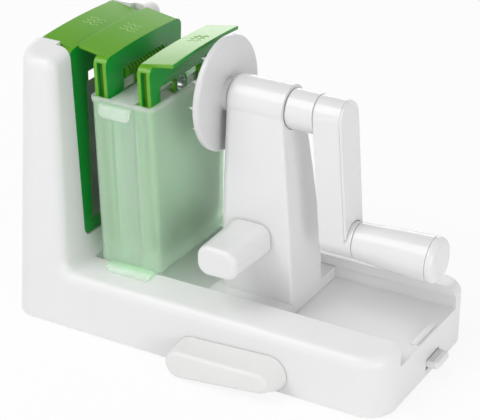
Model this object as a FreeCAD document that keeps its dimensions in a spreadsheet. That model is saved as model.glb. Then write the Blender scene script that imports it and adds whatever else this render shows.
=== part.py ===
"""Hand cranked spiral slicer: a base with a blade tower, three blade cartridges,
a storage box, a sliding carriage with crank and spiked disc, and a suction foot.

Millimetres. X runs along the base from the tower to the open end, Y across it
(the front is -Y) and Z up. The origin is the centre of the suction cup on the table.
Places along X are worked out from the middle of the base; stand() takes them to the frame.
"""
import FreeCAD, Part
import math
import os
import Sketcher
from FreeCAD import Vector

SIZES = {
    # base
    "base_length": 307.0,
    "base_width": 142.0,
    "open_end": 150.0,
    "corner_radius": 21.0,
    "foot_gap": 0.8,
    "deck_edge": 43.9,
    "deck_rise": 8.0,
    "floor_height": 32.0,
    "wall": 3.0,
    "edge_radius": 8.0,
    "underside_radius": 0.6,
    # tower
    "tower_ridge": 220.8,
    "tower_slope": 0.19,
    "tower_thickness": 50.3,
    "tower_lean": 17.0,
    "tower_top_radius": 8.0,
    "tower_foot_radius": 9.0,
    "seat_step": 5.0,
    # channel
    "channel_half": 43.5,
    "channel_start": -98.0,
    "lip_underside": 41.5,
    "lip_depth": 1.8,
    # clearances
    "running_gap": 0.05,
    "slide_gap": 0.3,
    "seat_gap": 0.2,
    # blade cartridges
    "frame_thickness": 10.0,
    "frame_bottom": 62.0,
    "frame_top": 208.3,
    "frame_half_bottom": 41.1,
    "frame_half_top": 49.2,
    "frame_corner": 7.0,
    "frame_shoulder": 6.0,
    "flange_depth": 25.6,
    "flange_half": 43.2,
    "flange_rise": 4.2,
    "flange_thickness": 2.6,
    "flange_arch": 1.5,
    "groove_width": 4.8,
    "groove_depth": 4.0,
    "web_thickness": 4.5,
    "window_half": 27.0,
    "blade_thickness": 1.2,
    "blade_margin": 1.8,
    "slicing_blade_height": 19.0,
    "slit_height": 7.0,
    "core_radius": 5.5,
    "core_wall": 0.8,
    "core_reach": 2.2,
    "comb_height": 8.0,
    "tooth_thickness": 0.9,
    "tooth_reach": 2.4,
    "fine_pitch": 4.0,
    "coarse_pitch": 8.0,
    "tower_frame_inset": 1.5,
    "fine_frame_x": -78.0,
    "coarse_frame_x": -52.5,
    # storage box
    "box_wall": 1.8,
    "box_half_top": 51.0,
    "box_half_bottom": 46.0,
    "box_bottom": 50.5,
    "box_rim": 180.0,
    "box_corner": 4.0,
    "box_far_corner": 8.0,
    "box_bevel": 3.0,
    "rim_lip": 1.0,
    "rim_height": 3.5,
    "tab_width": 25.2,
    "tab_offset": -3.4,
    "tab_drop": 12.3,
    "tab_reach": 3.2,
    "box_foot_length": 37.0,
    "box_foot_offset": 2.75,
    "box_foot_reach": 56.0,
    # crank axis and spiked disc
    "axis_height": 180.0,
    "disc_face": -14.3,
    "disc_radius": 41.4,
    "disc_thickness": 5.1,
    "spike_length": 6.1,
    "spike_radius": 1.7,
    "spike_ring": 34.5,
    "spike_inner_ring": 20.0,
    "spike_centre_ring": 8.5,
    # carriage
    "sled_start": -8.0,
    "sled_end": 55.0,
    "pedestal_start": -4.0,
    "pedestal_half": 22.5,
    "barrel_nose": 6.0,
    "face_edge": 2.0,
    "barrel_radius": 16.5,
    "barrel_end": 41.2,
    "bush_radius": 8.0,
    "bush_length": 12.0,
    "spindle_radius": 4.0,
    "spindle_square": 5.6,
    # push grip
    "grip_x": 20.8,
    "grip_rise": 0.3264,
    "grip_width": 31.0,
    "grip_depth": 22.5,
    "grip_reach": 70.0,
    "grip_shank": 7.0,
    # crank
    "hub_radius": 14.2,
    "hub_end": 62.9,
    "arm_face": 84.7,
    "arm_drift": 6.4,
    "arm_half": 13.8,
    "cover_thickness": 1.6,
    "crank_radius": 87.5,
    "boss_end": 94.0,
    "handle_root_radius": 13.1,
    "handle_end_radius": 16.7,
    "handle_length": 56.0,
    "cap_length": 6.2,
    "axle_radius": 4.0,
    # suction lever and cup
    "lever_x": 63.5,
    "lever_height": 14.4,
    "lever_hub_radius": 13.8,
    "lever_reach": 60.5,
    "lever_tip_radius": 11.6,
    "lever_depth": 20.3,
    "journal_radius": 5.2,
    "shaft_radius": 3.0,
    "throw": 1.6,
    "cup_radius": 50.0,
    # release latch
    "latch_inset": 6.8,
    "latch_thickness": 4.6,
    "latch_half": 14.5,
    "latch_top": 35.0,
    "latch_travel": 3.0,
    "latch_tab_offset": 8.5,
    "latch_tab_half": 10.5,
    "latch_tab_reach": 8.5,
    "latch_tab_bottom": 9.0,
}


class Size:
    """A length that carries its value and the sheet formula that gives it."""

    def __init__(self, value, formula):
        self.value = float(value)
        self.formula = formula

    def __float__(self):
        return self.value

    def __neg__(self):
        return Size(-self.value, "(-" + self.formula + ")")

    def __add__(self, other):
        other = as_size(other)
        return Size(self.value + other.value, "(" + self.formula + " + " + other.formula + ")")

    def __sub__(self, other):
        other = as_size(other)
        return Size(self.value - other.value, "(" + self.formula + " - " + other.formula + ")")

    def __mul__(self, other):
        other = as_size(other)
        return Size(self.value * other.value, "(" + self.formula + " * " + other.formula + ")")

    def __truediv__(self, other):
        other = as_size(other)
        return Size(self.value / other.value, "(" + self.formula + " / " + other.formula + ")")

    def __radd__(self, other):
        return as_size(other) + self

    def __rsub__(self, other):
        return as_size(other) - self

    def __rmul__(self, other):
        return as_size(other) * self


def as_size(number):
    if isinstance(number, Size):
        return number
    return Size(number, "(" + repr(float(number)) + ")")


class Sheet:
    """The driving dimensions, one row each, read as attributes."""

    def __init__(self, doc):
        self.page = doc.addObject("Spreadsheet::Sheet", "Sizes")
        for row, (name, value) in enumerate(SIZES.items(), start=1):
            self.page.set("A%d" % row, name)
            self.page.set("B%d" % row, repr(value))
            self.page.setAlias("B%d" % row, name)
            setattr(self, name, Size(value, "Sizes." + name))
        doc.recompute()


# ---------------------------------------------------------------- drawing helpers

def bind(thing, prop, size):
    """Set a property and tie it to its sheet formula."""
    thing.setExpression(prop, as_size(size).formula)


def constrain(sketch, size, *terms):
    index = sketch.addConstraint(Sketcher.Constraint(*terms, float(size)))
    if isinstance(size, Size):
        bind(sketch, "Constraints[%d]" % index, size)


def place(sketch, item, point, spot):
    """Hold a point of a sketch item at a spot measured from the sketch's origin."""
    constrain(sketch, spot[0], "DistanceX", -1, 1, item, point)
    constrain(sketch, spot[1], "DistanceY", -1, 1, item, point)


def outline(sketch, corners):
    """A closed run of straight lines through the corners."""
    count = len(corners)
    spots = [Vector(float(a), float(b), 0) for a, b in corners]
    first = sketch.GeometryCount
    for i in range(count):
        sketch.addGeometry(Part.LineSegment(spots[i], spots[(i + 1) % count]))
    for i in range(count):
        sketch.addConstraint(Sketcher.Constraint("Coincident", first + i, 2, first + (i + 1) % count, 1))
        place(sketch, first + i, 1, corners[i])


def rectangle(sketch, low, high):
    outline(sketch, [low, (high[0], low[1]), high, (low[0], high[1])])


def circle(sketch, centre, radius):
    spot = Vector(float(centre[0]), float(centre[1]), 0)
    item = sketch.addGeometry(Part.Circle(spot, Vector(0, 0, 1), float(radius)))
    place(sketch, item, 3, centre)
    constrain(sketch, radius, "Radius", item)


def arc(sketch, centre, radius, start, end):
    """An arc by centre and angles, its centre and radius held; its ends are left free."""
    spot = Vector(float(centre[0]), float(centre[1]), 0)
    ring = Part.Circle(spot, Vector(0, 0, 1), float(radius))
    item = sketch.addGeometry(Part.ArcOfCircle(ring, start, end))
    place(sketch, item, 3, centre)
    constrain(sketch, radius, "Radius", item)
    return item


def pill(sketch, centre_a, radius_a, centre_b, radius_b):
    """Two round ends joined by their outer tangents."""
    ax, ay, ra = float(centre_a[0]), float(centre_a[1]), float(radius_a)
    bx, by, rb = float(centre_b[0]), float(centre_b[1]), float(radius_b)
    heading = math.atan2(by - ay, bx - ax)
    spread = math.acos((ra - rb) / math.hypot(bx - ax, by - ay))
    left, right = heading + spread, heading - spread
    end_a = arc(sketch, centre_a, radius_a, left, right + 2 * math.pi)
    end_b = arc(sketch, centre_b, radius_b, right, left)
    top = sketch.addGeometry(Part.LineSegment(
        Vector(bx + rb * math.cos(left), by + rb * math.sin(left), 0),
        Vector(ax + ra * math.cos(left), ay + ra * math.sin(left), 0)))
    bottom = sketch.addGeometry(Part.LineSegment(
        Vector(ax + ra * math.cos(right), ay + ra * math.sin(right), 0),
        Vector(bx + rb * math.cos(right), by + rb * math.sin(right), 0)))
    for terms in ((top, 1, end_b, 2), (top, 2, end_a, 1), (bottom, 1, end_a, 2), (bottom, 2, end_b, 1)):
        sketch.addConstraint(Sketcher.Constraint("Tangent", *terms))


def rounded_rectangle(sketch, low, high, radius, far_radius=None):
    """A rectangle with round corners; the corners at its far X may have their own radius."""
    x0, y0 = low
    x1, y1 = high
    near_r = radius
    far_r = radius if far_radius is None else far_radius
    spots = [(x1 - far_r, y1 - far_r, far_r), (x0 + near_r, y1 - near_r, near_r),
             (x0 + near_r, y0 + near_r, near_r), (x1 - far_r, y0 + far_r, far_r)]
    arcs = [arc(sketch, (x, y), r, i * math.pi / 2, (i + 1) * math.pi / 2)
            for i, (x, y, r) in enumerate(spots)]
    for i in range(4):
        here, there = sketch.Geometry[arcs[i]], sketch.Geometry[arcs[(i + 1) % 4]]
        side = sketch.addGeometry(Part.LineSegment(here.EndPoint, there.StartPoint))
        sketch.addConstraint(Sketcher.Constraint("Tangent", arcs[i], 2, side, 1))
        sketch.addConstraint(Sketcher.Constraint("Tangent", side, 2, arcs[(i + 1) % 4], 1))


def bowed_edge(sketch, half, height, rise):
    """An arc over the width, symmetric about the vertical axis and rising in the middle."""
    radius = (half * half + rise * rise) / (rise * 2)
    reach = math.asin(float(half) / float(radius))
    middle = Vector(0, float(height) + float(rise) - float(radius), 0)
    ring = Part.Circle(middle, Vector(0, 0, 1), float(radius))
    item = sketch.addGeometry(Part.ArcOfCircle(ring, math.pi / 2 - reach, math.pi / 2 + reach))
    place(sketch, item, 1, (half, height))
    place(sketch, item, 2, (-half, height))
    constrain(sketch, radius, "Radius", item)
    return item


def bowed_shape(sketch, half, height, rise, corners):
    """A bowed edge closed by straight lines through corners, from its -Y end to its +Y end."""
    bow = bowed_edge(sketch, half, height, rise)
    run = [(-half, height)] + corners + [(half, height)]
    lines = [sketch.addGeometry(Part.LineSegment(
        Vector(float(run[i][0]), float(run[i][1]), 0),
        Vector(float(run[i + 1][0]), float(run[i + 1][1]), 0))) for i in range(len(run) - 1)]
    sketch.addConstraint(Sketcher.Constraint("Coincident", lines[0], 1, bow, 2))
    sketch.addConstraint(Sketcher.Constraint("Coincident", lines[-1], 2, bow, 1))
    for i in range(len(lines) - 1):
        sketch.addConstraint(Sketcher.Constraint("Coincident", lines[i], 2, lines[i + 1], 1))
        place(sketch, lines[i + 1], 1, run[i + 1])


def straight(sketch, item_a, point_a, item_b, point_b, start, end):
    """A line between the ends of two other items."""
    side = sketch.addGeometry(Part.LineSegment(
        Vector(float(start[0]), float(start[1]), 0), Vector(float(end[0]), float(end[1]), 0)))
    sketch.addConstraint(Sketcher.Constraint("Coincident", side, 1, item_a, point_a))
    sketch.addConstraint(Sketcher.Constraint("Coincident", side, 2, item_b, point_b))


# ---------------------------------------------------------------- modelling helpers

def new_body(doc, name):
    body = doc.addObject("PartDesign::Body", name)
    body.Label = name
    return body


def new_sketch(body, name, role, offset):
    plane = next(item for item in body.Origin.OriginFeatures if item.Role == role)
    sketch = body.newObject("Sketcher::SketchObject", name)
    sketch.AttachmentSupport = [(plane, "")]
    sketch.MapMode = "FlatFace"
    bind(sketch, "AttachmentOffset.Base.z", offset)
    return sketch


PLANES = {"X": "YZ_Plane", "Y": "XZ_Plane", "Z": "XY_Plane"}


def prism(body, name, axis, low, high, draw, cut=False):
    """Add or cut a straight solid from low to high along an axis.

    The sketch is read as (Y, Z) for X, (X, Z) for Y and (X, Y) for Z.
    """
    offset = -as_size(high) if axis == "Y" else low
    sketch = new_sketch(body, name + "Sketch", PLANES[axis], offset)
    draw(sketch)
    before = body.Shape.Volume if cut else 0.0
    feature = body.newObject("PartDesign::Pocket" if cut else "PartDesign::Pad", name)
    feature.Profile = sketch
    feature.Reversed = cut
    bind(feature, "Length", as_size(high) - low)
    return settle(body, feature, before)


def settle(body, feature, before):
    """Recompute, then stop on a feature with no result or a cut that removes nothing."""
    body.Document.recompute()
    if feature.Shape.isNull():
        raise RuntimeError(feature.Name + " of " + body.Label + " has no shape")
    if before and not body.Shape.Volume < before - 0.01:
        raise RuntimeError(feature.Name + " cuts nothing from " + body.Label)
    return feature


def blend(body, name, axis, sections, cut=False, ruled=True):
    """Add or cut a loft through sections, each given as (position, draw)."""
    sketches = []
    for i, (spot, draw) in enumerate(sections):
        offset = -as_size(spot) if axis == "Y" else spot
        sketch = new_sketch(body, "%sSection%d" % (name, i + 1), PLANES[axis], offset)
        draw(sketch)
        sketches.append(sketch)
    body.Document.recompute()
    before = body.Shape.Volume if cut else 0.0
    feature = body.newObject("PartDesign::SubtractiveLoft" if cut else "PartDesign::AdditiveLoft", name)
    feature.Profile = sketches[0]
    feature.Sections = sketches[1:]
    feature.Ruled = ruled
    return settle(body, feature, before)


def turned(body, name, draw):
    """Revolve a sketch of (X, radius) about the body's own X axis."""
    sketch = new_sketch(body, name + "Sketch", "XZ_Plane", 0.0)
    draw(sketch)
    feature = body.newObject("PartDesign::Revolution", name)
    feature.Profile = sketch
    feature.ReferenceAxis = (sketch, ["H_Axis"])
    feature.Angle = 360
    return settle(body, feature, 0.0)


def spun(body, name, draw):
    """Revolve a sketch of (radius, Z) about the body's own Z axis."""
    sketch = new_sketch(body, name + "Sketch", "XZ_Plane", 0.0)
    draw(sketch)
    feature = body.newObject("PartDesign::Revolution", name)
    feature.Profile = sketch
    feature.ReferenceAxis = (sketch, ["V_Axis"])
    feature.Angle = 360
    return settle(body, feature, 0.0)


def dress(body, kind, name, prop, size, chosen):
    """Fillet or chamfer the edges of the tip that a test picks."""
    base = body.Tip
    names = ["Edge%d" % (i + 1) for i, edge in enumerate(base.Shape.Edges) if chosen(edge)]
    if not names:
        raise RuntimeError(name + " finds no edge on " + body.Label)
    feature = body.newObject(kind, name)
    feature.Base = (base, names)
    bind(feature, prop, size)
    return settle(body, feature, 0.0)


def fillet(body, name, radius, chosen):
    return dress(body, "PartDesign::Fillet", name, "Radius", radius, chosen)


def chamfer(body, name, size, chosen):
    return dress(body, "PartDesign::Chamfer", name, "Size", size, chosen)


def spots_of(edge):
    first, last = edge.ParameterRange
    return [edge.valueAt(first + (last - first) * part / 4.0) for part in range(5)]


def level(edge, axis, value, slack=0.02):
    """True where the whole edge has one coordinate, such as ("z", 46)."""
    return all(abs(getattr(spot, axis) - float(value)) < slack for spot in spots_of(edge))


def runs(edge, axis):
    """True where the edge is straight and parallel to an axis."""
    spots = spots_of(edge)
    others = [name for name in "xyz" if name != axis]
    return all(abs(getattr(spot, name) - getattr(spots[0], name)) < 0.01 for spot in spots for name in others)


def middle(edge):
    return spots_of(edge)[2]


def near(value, target, slack=0.05):
    return abs(float(value) - float(target)) < slack


def stand(s, thing, x=0.0, y=0.0, z=0.0, turn=0.0):
    """Stand a finished piece in the frame; x is measured from the middle of the base."""
    thing.Placement = FreeCAD.Placement(Vector(0, 0, 0), FreeCAD.Rotation(Vector(0, 0, 1), turn))
    bind(thing, "Placement.Base.x", x - s.lever_x)
    bind(thing, "Placement.Base.y", y)
    bind(thing, "Placement.Base.z", z)
    return thing


def screws(doc, s, name, spots, direction, head_radius, head_height, shank_radius, length):
    """A set of like screws; the spot is the head's outer face, the shank points along direction."""
    pieces = []
    for i, spot in enumerate(spots):
        head = doc.addObject("Part::Cylinder", "%sHead%d" % (name, i + 1))
        bind(head, "Radius", head_radius)
        bind(head, "Height", head_height)
        shank = doc.addObject("Part::Cylinder", "%sShank%d" % (name, i + 1))
        bind(shank, "Radius", shank_radius)
        bind(shank, "Height", length)
        both = doc.addObject("Part::Fuse", "%sPiece%d" % (name, i + 1))
        both.Base = head
        both.Tool = shank
        both.Placement = FreeCAD.Placement(
            Vector(0, 0, 0), FreeCAD.Rotation(Vector(0, 0, 1), Vector(*direction)))
        bind(both, "Placement.Base.x", spot[0])
        bind(both, "Placement.Base.y", spot[1])
        bind(both, "Placement.Base.z", spot[2])
        pieces.append(both)
    group = doc.addObject("Part::Compound", name)
    group.Label = name
    group.Links = pieces
    return stand(s, group)


# ---------------------------------------------------------------- base

def frame_half(s, height):
    """Half width of a cartridge at a height; its sides lean outwards upwards."""
    slope = (s.frame_half_top - s.frame_half_bottom) / (s.frame_top - s.frame_bottom)
    return s.frame_half_bottom + slope * (as_size(height) - s.frame_bottom)


def tower_end(s):
    """X of the base's end below the tower."""
    return s.open_end - s.base_length


def tower_right(s):
    return s.tower_thickness + tower_end(s)


def tower_face(s):
    """X of the feed face of the cartridge that stands in the tower."""
    return tower_right(s) - s.tower_frame_inset


def seat_x(s):
    """X of the shoulder that the tower's cartridge leans on."""
    return tower_face(s) - s.frame_thickness - s.seat_gap


def boss_spots(s):
    side = (s.channel_half + s.lip_depth + s.base_width / 2) / 2
    places = (s.channel_start - 4.5, as_size(0.0), s.open_end - 20)
    return [(x, y) for x in places for y in (-side, side)]


def foot_spots(s):
    side = s.base_width / 2 - 16
    return [(x, y) for x in (tower_end(s) + 42, s.open_end - 35) for y in (-side, side)]


def deck(s, y):
    """Height of the crowned rail tops at a distance from the middle."""
    part = as_size(y) * 2 / s.base_width
    return s.deck_edge + s.deck_rise * (1 - part * part)


def rail_roof(s):
    """Top of the hollows inside the rails."""
    return s.deck_edge - s.wall * 1.3


def tower_edge(s):
    """Height of the tower's sloped top over the side faces."""
    return s.tower_ridge - s.tower_slope * (s.base_width / 2)


def base_housing(doc, s):
    body = new_body(doc, "base_housing")
    side = s.base_width / 2
    roof = s.floor_height - s.wall
    housing_form(body, s, side)
    housing_hollows(body, s, side, roof)
    housing_tower(body, s)
    housing_channel(body, s)
    housing_mountings(body, s, side, roof)
    return stand(s, body)


def housing_form(body, s, side):
    """The outer form: side view, crowned rails, sloped tower top and rounded edges."""
    left, end, right = tower_end(s), s.open_end, tower_right(s)
    crest = s.deck_edge + s.deck_rise
    ridge = s.tower_ridge
    prism(body, "Silhouette", "Y", -side, side, lambda sk: outline(sk, [
        (left, s.foot_gap), (end, s.foot_gap), (end, crest), (right, crest),
        (right, ridge), (left + s.tower_lean, ridge)]))
    prism(body, "Crown", "X", right, end + 1, lambda sk: bowed_shape(
        sk, side, s.deck_edge, s.deck_rise, [(-side, crest + 1), (side, crest + 1)]), cut=True)
    over = side + 1
    prism(body, "TowerSlopes", "X", left - 1, right + 1, lambda sk: outline(sk, [
        (-over, ridge - s.tower_slope * over), (as_size(0.0), ridge), (over, ridge - s.tower_slope * over),
        (over, ridge + 1), (-over, ridge + 1)]), cut=True)
    exit_opening(body, s, left)
    fillet(body, "Corners", s.corner_radius,
           lambda e: near(abs(middle(e).y), side) and e.BoundBox.ZLength > 10
           and (middle(e).x > float(end) - 1 or middle(e).x < float(left + s.tower_lean) - 1))
    fillet(body, "TowerFoot", s.tower_foot_radius,
           lambda e: level(e, "x", right) and on_deck(s, e) and e.BoundBox.YLength > 20)
    fillet(body, "OuterEdge", s.edge_radius,
           lambda e: on_deck(s, e) and (level(e, "y", -side) or level(e, "y", side) or (
               middle(e).x > float(end - s.corner_radius))))
    fillet(body, "TowerTop", s.tower_top_radius,
           lambda e: on_tower_top(s, e) and not level(e, "x", right))
    fillet(body, "UndersideEdge", s.underside_radius, lambda e: level(e, "z", s.foot_gap))


def on_deck(s, edge):
    """True for an edge that lies on the crowned rail tops."""
    return all(abs(spot.z - float(deck(s, spot.y))) < 0.2 for spot in spots_of(edge))


def on_tower_top(s, edge):
    """True for an outer edge of the tower's sloped top."""
    inner = float(frame_half(s, s.tower_ridge) - s.seat_step)
    spots = spots_of(edge)
    sloped = all(near(spot.z, s.tower_ridge - s.tower_slope * abs(spot.y)) for spot in spots)
    return sloped and max(abs(spot.y) for spot in spots) > inner + 1


def exit_opening(body, s, left):
    """The way out for the strands, open at the tower's back and top."""
    sill = s.frame_bottom - s.slide_gap + s.seat_step
    above = s.tower_ridge + 1
    prism(body, "Exit", "X", left - 1, seat_x(s) + 1, lambda sk: outline(sk, [
        (s.seat_step - frame_half(s, sill), sill), (frame_half(s, sill) - s.seat_step, sill),
        (frame_half(s, above) - s.seat_step, above), (s.seat_step - frame_half(s, above), above)]), cut=True)


def housing_hollows(body, s, side, roof):
    """The hollow underside, with the two rails and the two cheeks hollow above it."""
    left, end, right = tower_end(s), s.open_end, tower_right(s)
    inner = s.lip_depth + s.channel_half + s.wall
    prism(body, "Hollow", "Z", s.foot_gap, roof, lambda sk: rounded_rectangle(
        sk, (left + s.wall * 2, s.wall - side), (end - s.wall, side - s.wall),
        s.corner_radius - s.wall), cut=True)
    prism(body, "RailHollows", "Z", roof - 1, rail_roof(s), lambda sk: (
        rectangle(sk, (s.channel_start, inner), (end - s.corner_radius, side - s.wall)),
        rectangle(sk, (s.channel_start, s.wall - side), (end - s.corner_radius, -inner))), cut=True)
    cheek_inner = s.frame_half_top + s.wall
    top = tower_edge(s) - s.tower_top_radius * 1.4
    start = left + s.corner_radius * 0.65
    lean = s.tower_lean * (top - roof) / (s.tower_ridge - s.foot_gap)
    cheek = [(start, roof - 1), (right - s.wall, roof - 1), (right - s.wall, top), (start + lean, top)]
    for name, low, high in (("FrontCheek", s.wall * 1.5 - side, -cheek_inner),
                            ("RearCheek", cheek_inner, side - s.wall * 1.5)):
        prism(body, name + "Hollow", "Y", low, high, lambda sk: outline(sk, cheek), cut=True)


def housing_tower(body, s):
    """The slot for a cartridge and the tongues that enter its grooves."""
    seat = seat_x(s)
    above = s.tower_ridge + 1
    low = s.frame_bottom - s.slide_gap
    prism(body, "Slot", "X", seat, tower_right(s) + 1, lambda sk: outline(sk, [
        (-frame_half(s, low) - s.slide_gap, low), (frame_half(s, low) + s.slide_gap, low),
        (frame_half(s, above) + s.slide_gap, above), (-frame_half(s, above) - s.slide_gap, above)]), cut=True)
    fillet(body, "SlotCorners", s.frame_corner + s.slide_gap,
           lambda e: runs(e, "x") and near(middle(e).z, low) and near(
               abs(middle(e).y), frame_half(s, low) + s.slide_gap))
    centre = tower_face(s) - s.frame_thickness / 2
    width = s.groove_width / 2 - s.slide_gap
    low = s.frame_bottom + s.groove_depth * 2
    high = s.frame_top - s.flange_thickness * 4
    bite = s.groove_depth - s.slide_gap
    for name, sign in (("FrontTongue", -1), ("RearTongue", 1)):
        prism(body, name, "X", centre - width, centre + width, lambda sk: outline(sk, [
            (sign * (frame_half(s, low) + 1), low),
            (sign * (frame_half(s, high) + 1), high),
            (sign * (frame_half(s, high) - bite), high - bite),
            (sign * (frame_half(s, low) - bite), low + bite)]))


def housing_channel(body, s):
    """The channel that the carriage slides in, with a lip along each rail."""
    far = s.open_end + 1
    prism(body, "Channel", "Z", s.floor_height, s.deck_edge + s.deck_rise + 1, lambda sk: rectangle(
        sk, (s.channel_start, -s.channel_half), (far, s.channel_half)), cut=True)
    prism(body, "Undercut", "Z", s.floor_height, s.lip_underside, lambda sk: rectangle(
        sk, (s.channel_start, -s.channel_half - s.lip_depth), (far, s.channel_half + s.lip_depth)), cut=True)


def housing_mountings(body, s, side, roof):
    """Screw bosses, the bearings of the lever shaft and the openings for the latch."""
    cover_top = s.foot_gap + s.wall
    axle = (s.lever_x, s.lever_height)
    prism(body, "Bosses", "Z", cover_top, rail_roof(s) + 0.5,
          lambda sk: [circle(sk, spot, 4.2) for spot in boss_spots(s)])
    prism(body, "PilotHoles", "Z", cover_top, cover_top + 14,
          lambda sk: [circle(sk, spot, 1.4) for spot in boss_spots(s)], cut=True)
    prism(body, "FrontBearing", "Y", s.wall - side - 0.5, s.wall - side + 10,
          lambda sk: circle(sk, axle, s.journal_radius + s.wall))
    prism(body, "FrontBore", "Y", -side - 1, s.wall - side + 11,
          lambda sk: circle(sk, axle, s.journal_radius + s.running_gap), cut=True)
    prism(body, "RearBearing", "Y", 14, 18,
          lambda sk: rectangle(sk, (s.lever_x - 9, s.lever_height - 7), (s.lever_x + 9, roof + 0.5)))
    prism(body, "RearBore", "Y", 13, 19,
          lambda sk: circle(sk, axle, s.shaft_radius + s.running_gap), cut=True)
    gap = s.slide_gap
    prism(body, "LatchSlot", "Z", roof - s.latch_travel - 2, s.floor_height + 1, lambda sk: rectangle(
        sk, (latch_start(s) - gap, -s.latch_half - gap), (latch_end(s) + gap, s.latch_half + gap)), cut=True)
    tab_low = s.latch_tab_bottom - s.latch_travel - gap
    prism(body, "TabWindow", "X", s.open_end - s.wall - 1, s.open_end + 1, lambda sk: rectangle(
        sk, (s.latch_tab_offset - s.latch_tab_half - gap, tab_low),
        (s.latch_tab_offset + s.latch_tab_half + gap, s.latch_tab_bottom + 5.2 + gap)), cut=True)


def bottom_cover(doc, s):
    body = new_body(doc, "bottom_cover")
    side = s.base_width / 2
    inset = s.wall + s.slide_gap
    top = s.foot_gap + s.wall - s.slide_gap
    prism(body, "Plate", "Z", s.foot_gap, top, lambda sk: rounded_rectangle(
        sk, (tower_end(s) + s.wall + inset, inset - side), (s.open_end - inset, side - inset),
        s.corner_radius - s.wall))
    mouth = s.cup_radius + 2.5
    prism(body, "MouthRim", "Z", s.foot_gap, top + 2, lambda sk: circle(sk, (s.lever_x, 0.0), mouth + 1.6))
    prism(body, "Mouth", "Z", s.foot_gap - 1, top + 3,
          lambda sk: circle(sk, (s.lever_x, 0.0), mouth), cut=True)
    prism(body, "ScrewHoles", "Z", s.foot_gap - 1, top + 1,
          lambda sk: [circle(sk, spot, 1.6) for spot in boss_spots(s)], cut=True)
    prism(body, "HeadRecesses", "Z", s.foot_gap - 1, s.foot_gap + 1.6,
          lambda sk: [circle(sk, spot, 3.1) for spot in boss_spots(s)], cut=True)
    prism(body, "FootHoles", "Z", s.foot_gap - 1, top + 1,
          lambda sk: [circle(sk, spot, 3.0 + s.running_gap) for spot in foot_spots(s)], cut=True)
    prism(body, "SpringPin", "Z", top - 0.5, top + 3, lambda sk: circle(sk, latch_spring_spot(s), 1.9))
    return stand(s, body)


def cover_screws(doc, s):
    spots = [(x, y, s.foot_gap + 0.2) for x, y in boss_spots(s)]
    return screws(doc, s, "cover_screws", spots, (0, 0, 1), 2.9, 1.3, 1.35, 12.0)


def rubber_feet(doc, s):
    pieces = []
    for i, (x, y) in enumerate(foot_spots(s)):
        pad = doc.addObject("Part::Cone", "FootPad%d" % (i + 1))
        bind(pad, "Radius1", 7.2)
        bind(pad, "Radius2", 8.0)
        bind(pad, "Height", s.foot_gap)
        stub = doc.addObject("Part::Cylinder", "FootStub%d" % (i + 1))
        bind(stub, "Radius", 3.0)
        bind(stub, "Height", s.foot_gap + s.wall + 1)
        foot = doc.addObject("Part::Fuse", "Foot%d" % (i + 1))
        foot.Base = pad
        foot.Tool = stub
        bind(foot, "Placement.Base.x", x)
        bind(foot, "Placement.Base.y", y)
        pieces.append(foot)
    group = doc.addObject("Part::Compound", "rubber_feet")
    group.Label = "rubber_feet"
    group.Links = pieces
    return stand(s, group)


# ---------------------------------------------------------------- suction foot

def cup_top(s):
    return s.lever_height - s.throw - 4.9 - 0.5 - 2.6


def suction_cup(doc, s):
    body = new_body(doc, "suction_cup")
    top = cup_top(s)
    spun(body, "Dome", lambda sk: outline(sk, [
        (0.0, 1.2), (s.cup_radius - 12, 1.4), (s.cup_radius - 2, 0.0), (s.cup_radius, 0.0),
        (s.cup_radius, 0.7), (s.cup_radius - 9, 3.4), (s.cup_radius / 2, top), (0.0, top)]))
    return stand(s, body, s.lever_x)


def cup_stem(doc, s):
    body = new_body(doc, "cup_stem")
    base = cup_top(s)
    low = s.lever_height - s.throw - 4.9 - 0.5
    high = s.lever_height - s.throw + 4.9 + 0.5
    prism(body, "Foot", "Z", base, base + 1.4, lambda sk: circle(sk, (0.0, 0.0), 11.0))
    prism(body, "Eye", "Y", -4.0, 4.0, lambda sk: rectangle(sk, (-9.6, base), (9.6, high + 2.4)))
    prism(body, "Slot", "Y", -5.0, 5.0, lambda sk: rectangle(sk, (-7.0, low), (7.0, high)), cut=True)
    fillet(body, "EyeShoulders", 2.5, lambda e: runs(e, "y") and near(middle(e).z, high + 2.4))
    return stand(s, body, s.lever_x)


def lever_shaft(doc, s):
    """Square end, front journal, shaft and eccentric on one axis along Y."""
    body = new_body(doc, "lever_shaft")
    side = s.base_width / 2
    root = -side - s.slide_gap
    half = s.spindle_square / 2
    prism(body, "SquareEnd", "Y", root - 10, root, lambda sk: rectangle(sk, (-half, -half), (half, half)))
    prism(body, "Journal", "Y", root, s.wall - side + 10, lambda sk: circle(sk, (0.0, 0.0), s.journal_radius))
    prism(body, "Rod", "Y", s.wall - side + 9, 21.0, lambda sk: circle(sk, (0.0, 0.0), s.shaft_radius))
    prism(body, "Eccentric", "Y", -4.6, 4.6, lambda sk: circle(sk, (0.0, -s.throw), 4.9))
    prism(body, "RingGroove", "Y", 18.4, 19.6, lambda sk: (
        circle(sk, (0.0, 0.0), s.shaft_radius + 1), circle(sk, (0.0, 0.0), s.shaft_radius - 0.6)), cut=True)
    return stand(s, body, s.lever_x, 0.0, s.lever_height)


def shaft_ring(doc, s):
    body = new_body(doc, "shaft_ring")
    prism(body, "Ring", "Y", 18.5, 19.5, lambda sk: (
        circle(sk, (0.0, 0.0), s.shaft_radius + 2.4), circle(sk, (0.0, 0.0), s.shaft_radius - 0.55)))
    prism(body, "Gap", "Y", 18.0, 20.0,
          lambda sk: rectangle(sk, (-1.2, 0.0), (1.2, s.shaft_radius + 3)), cut=True)
    return stand(s, body, s.lever_x, 0.0, s.lever_height)


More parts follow.
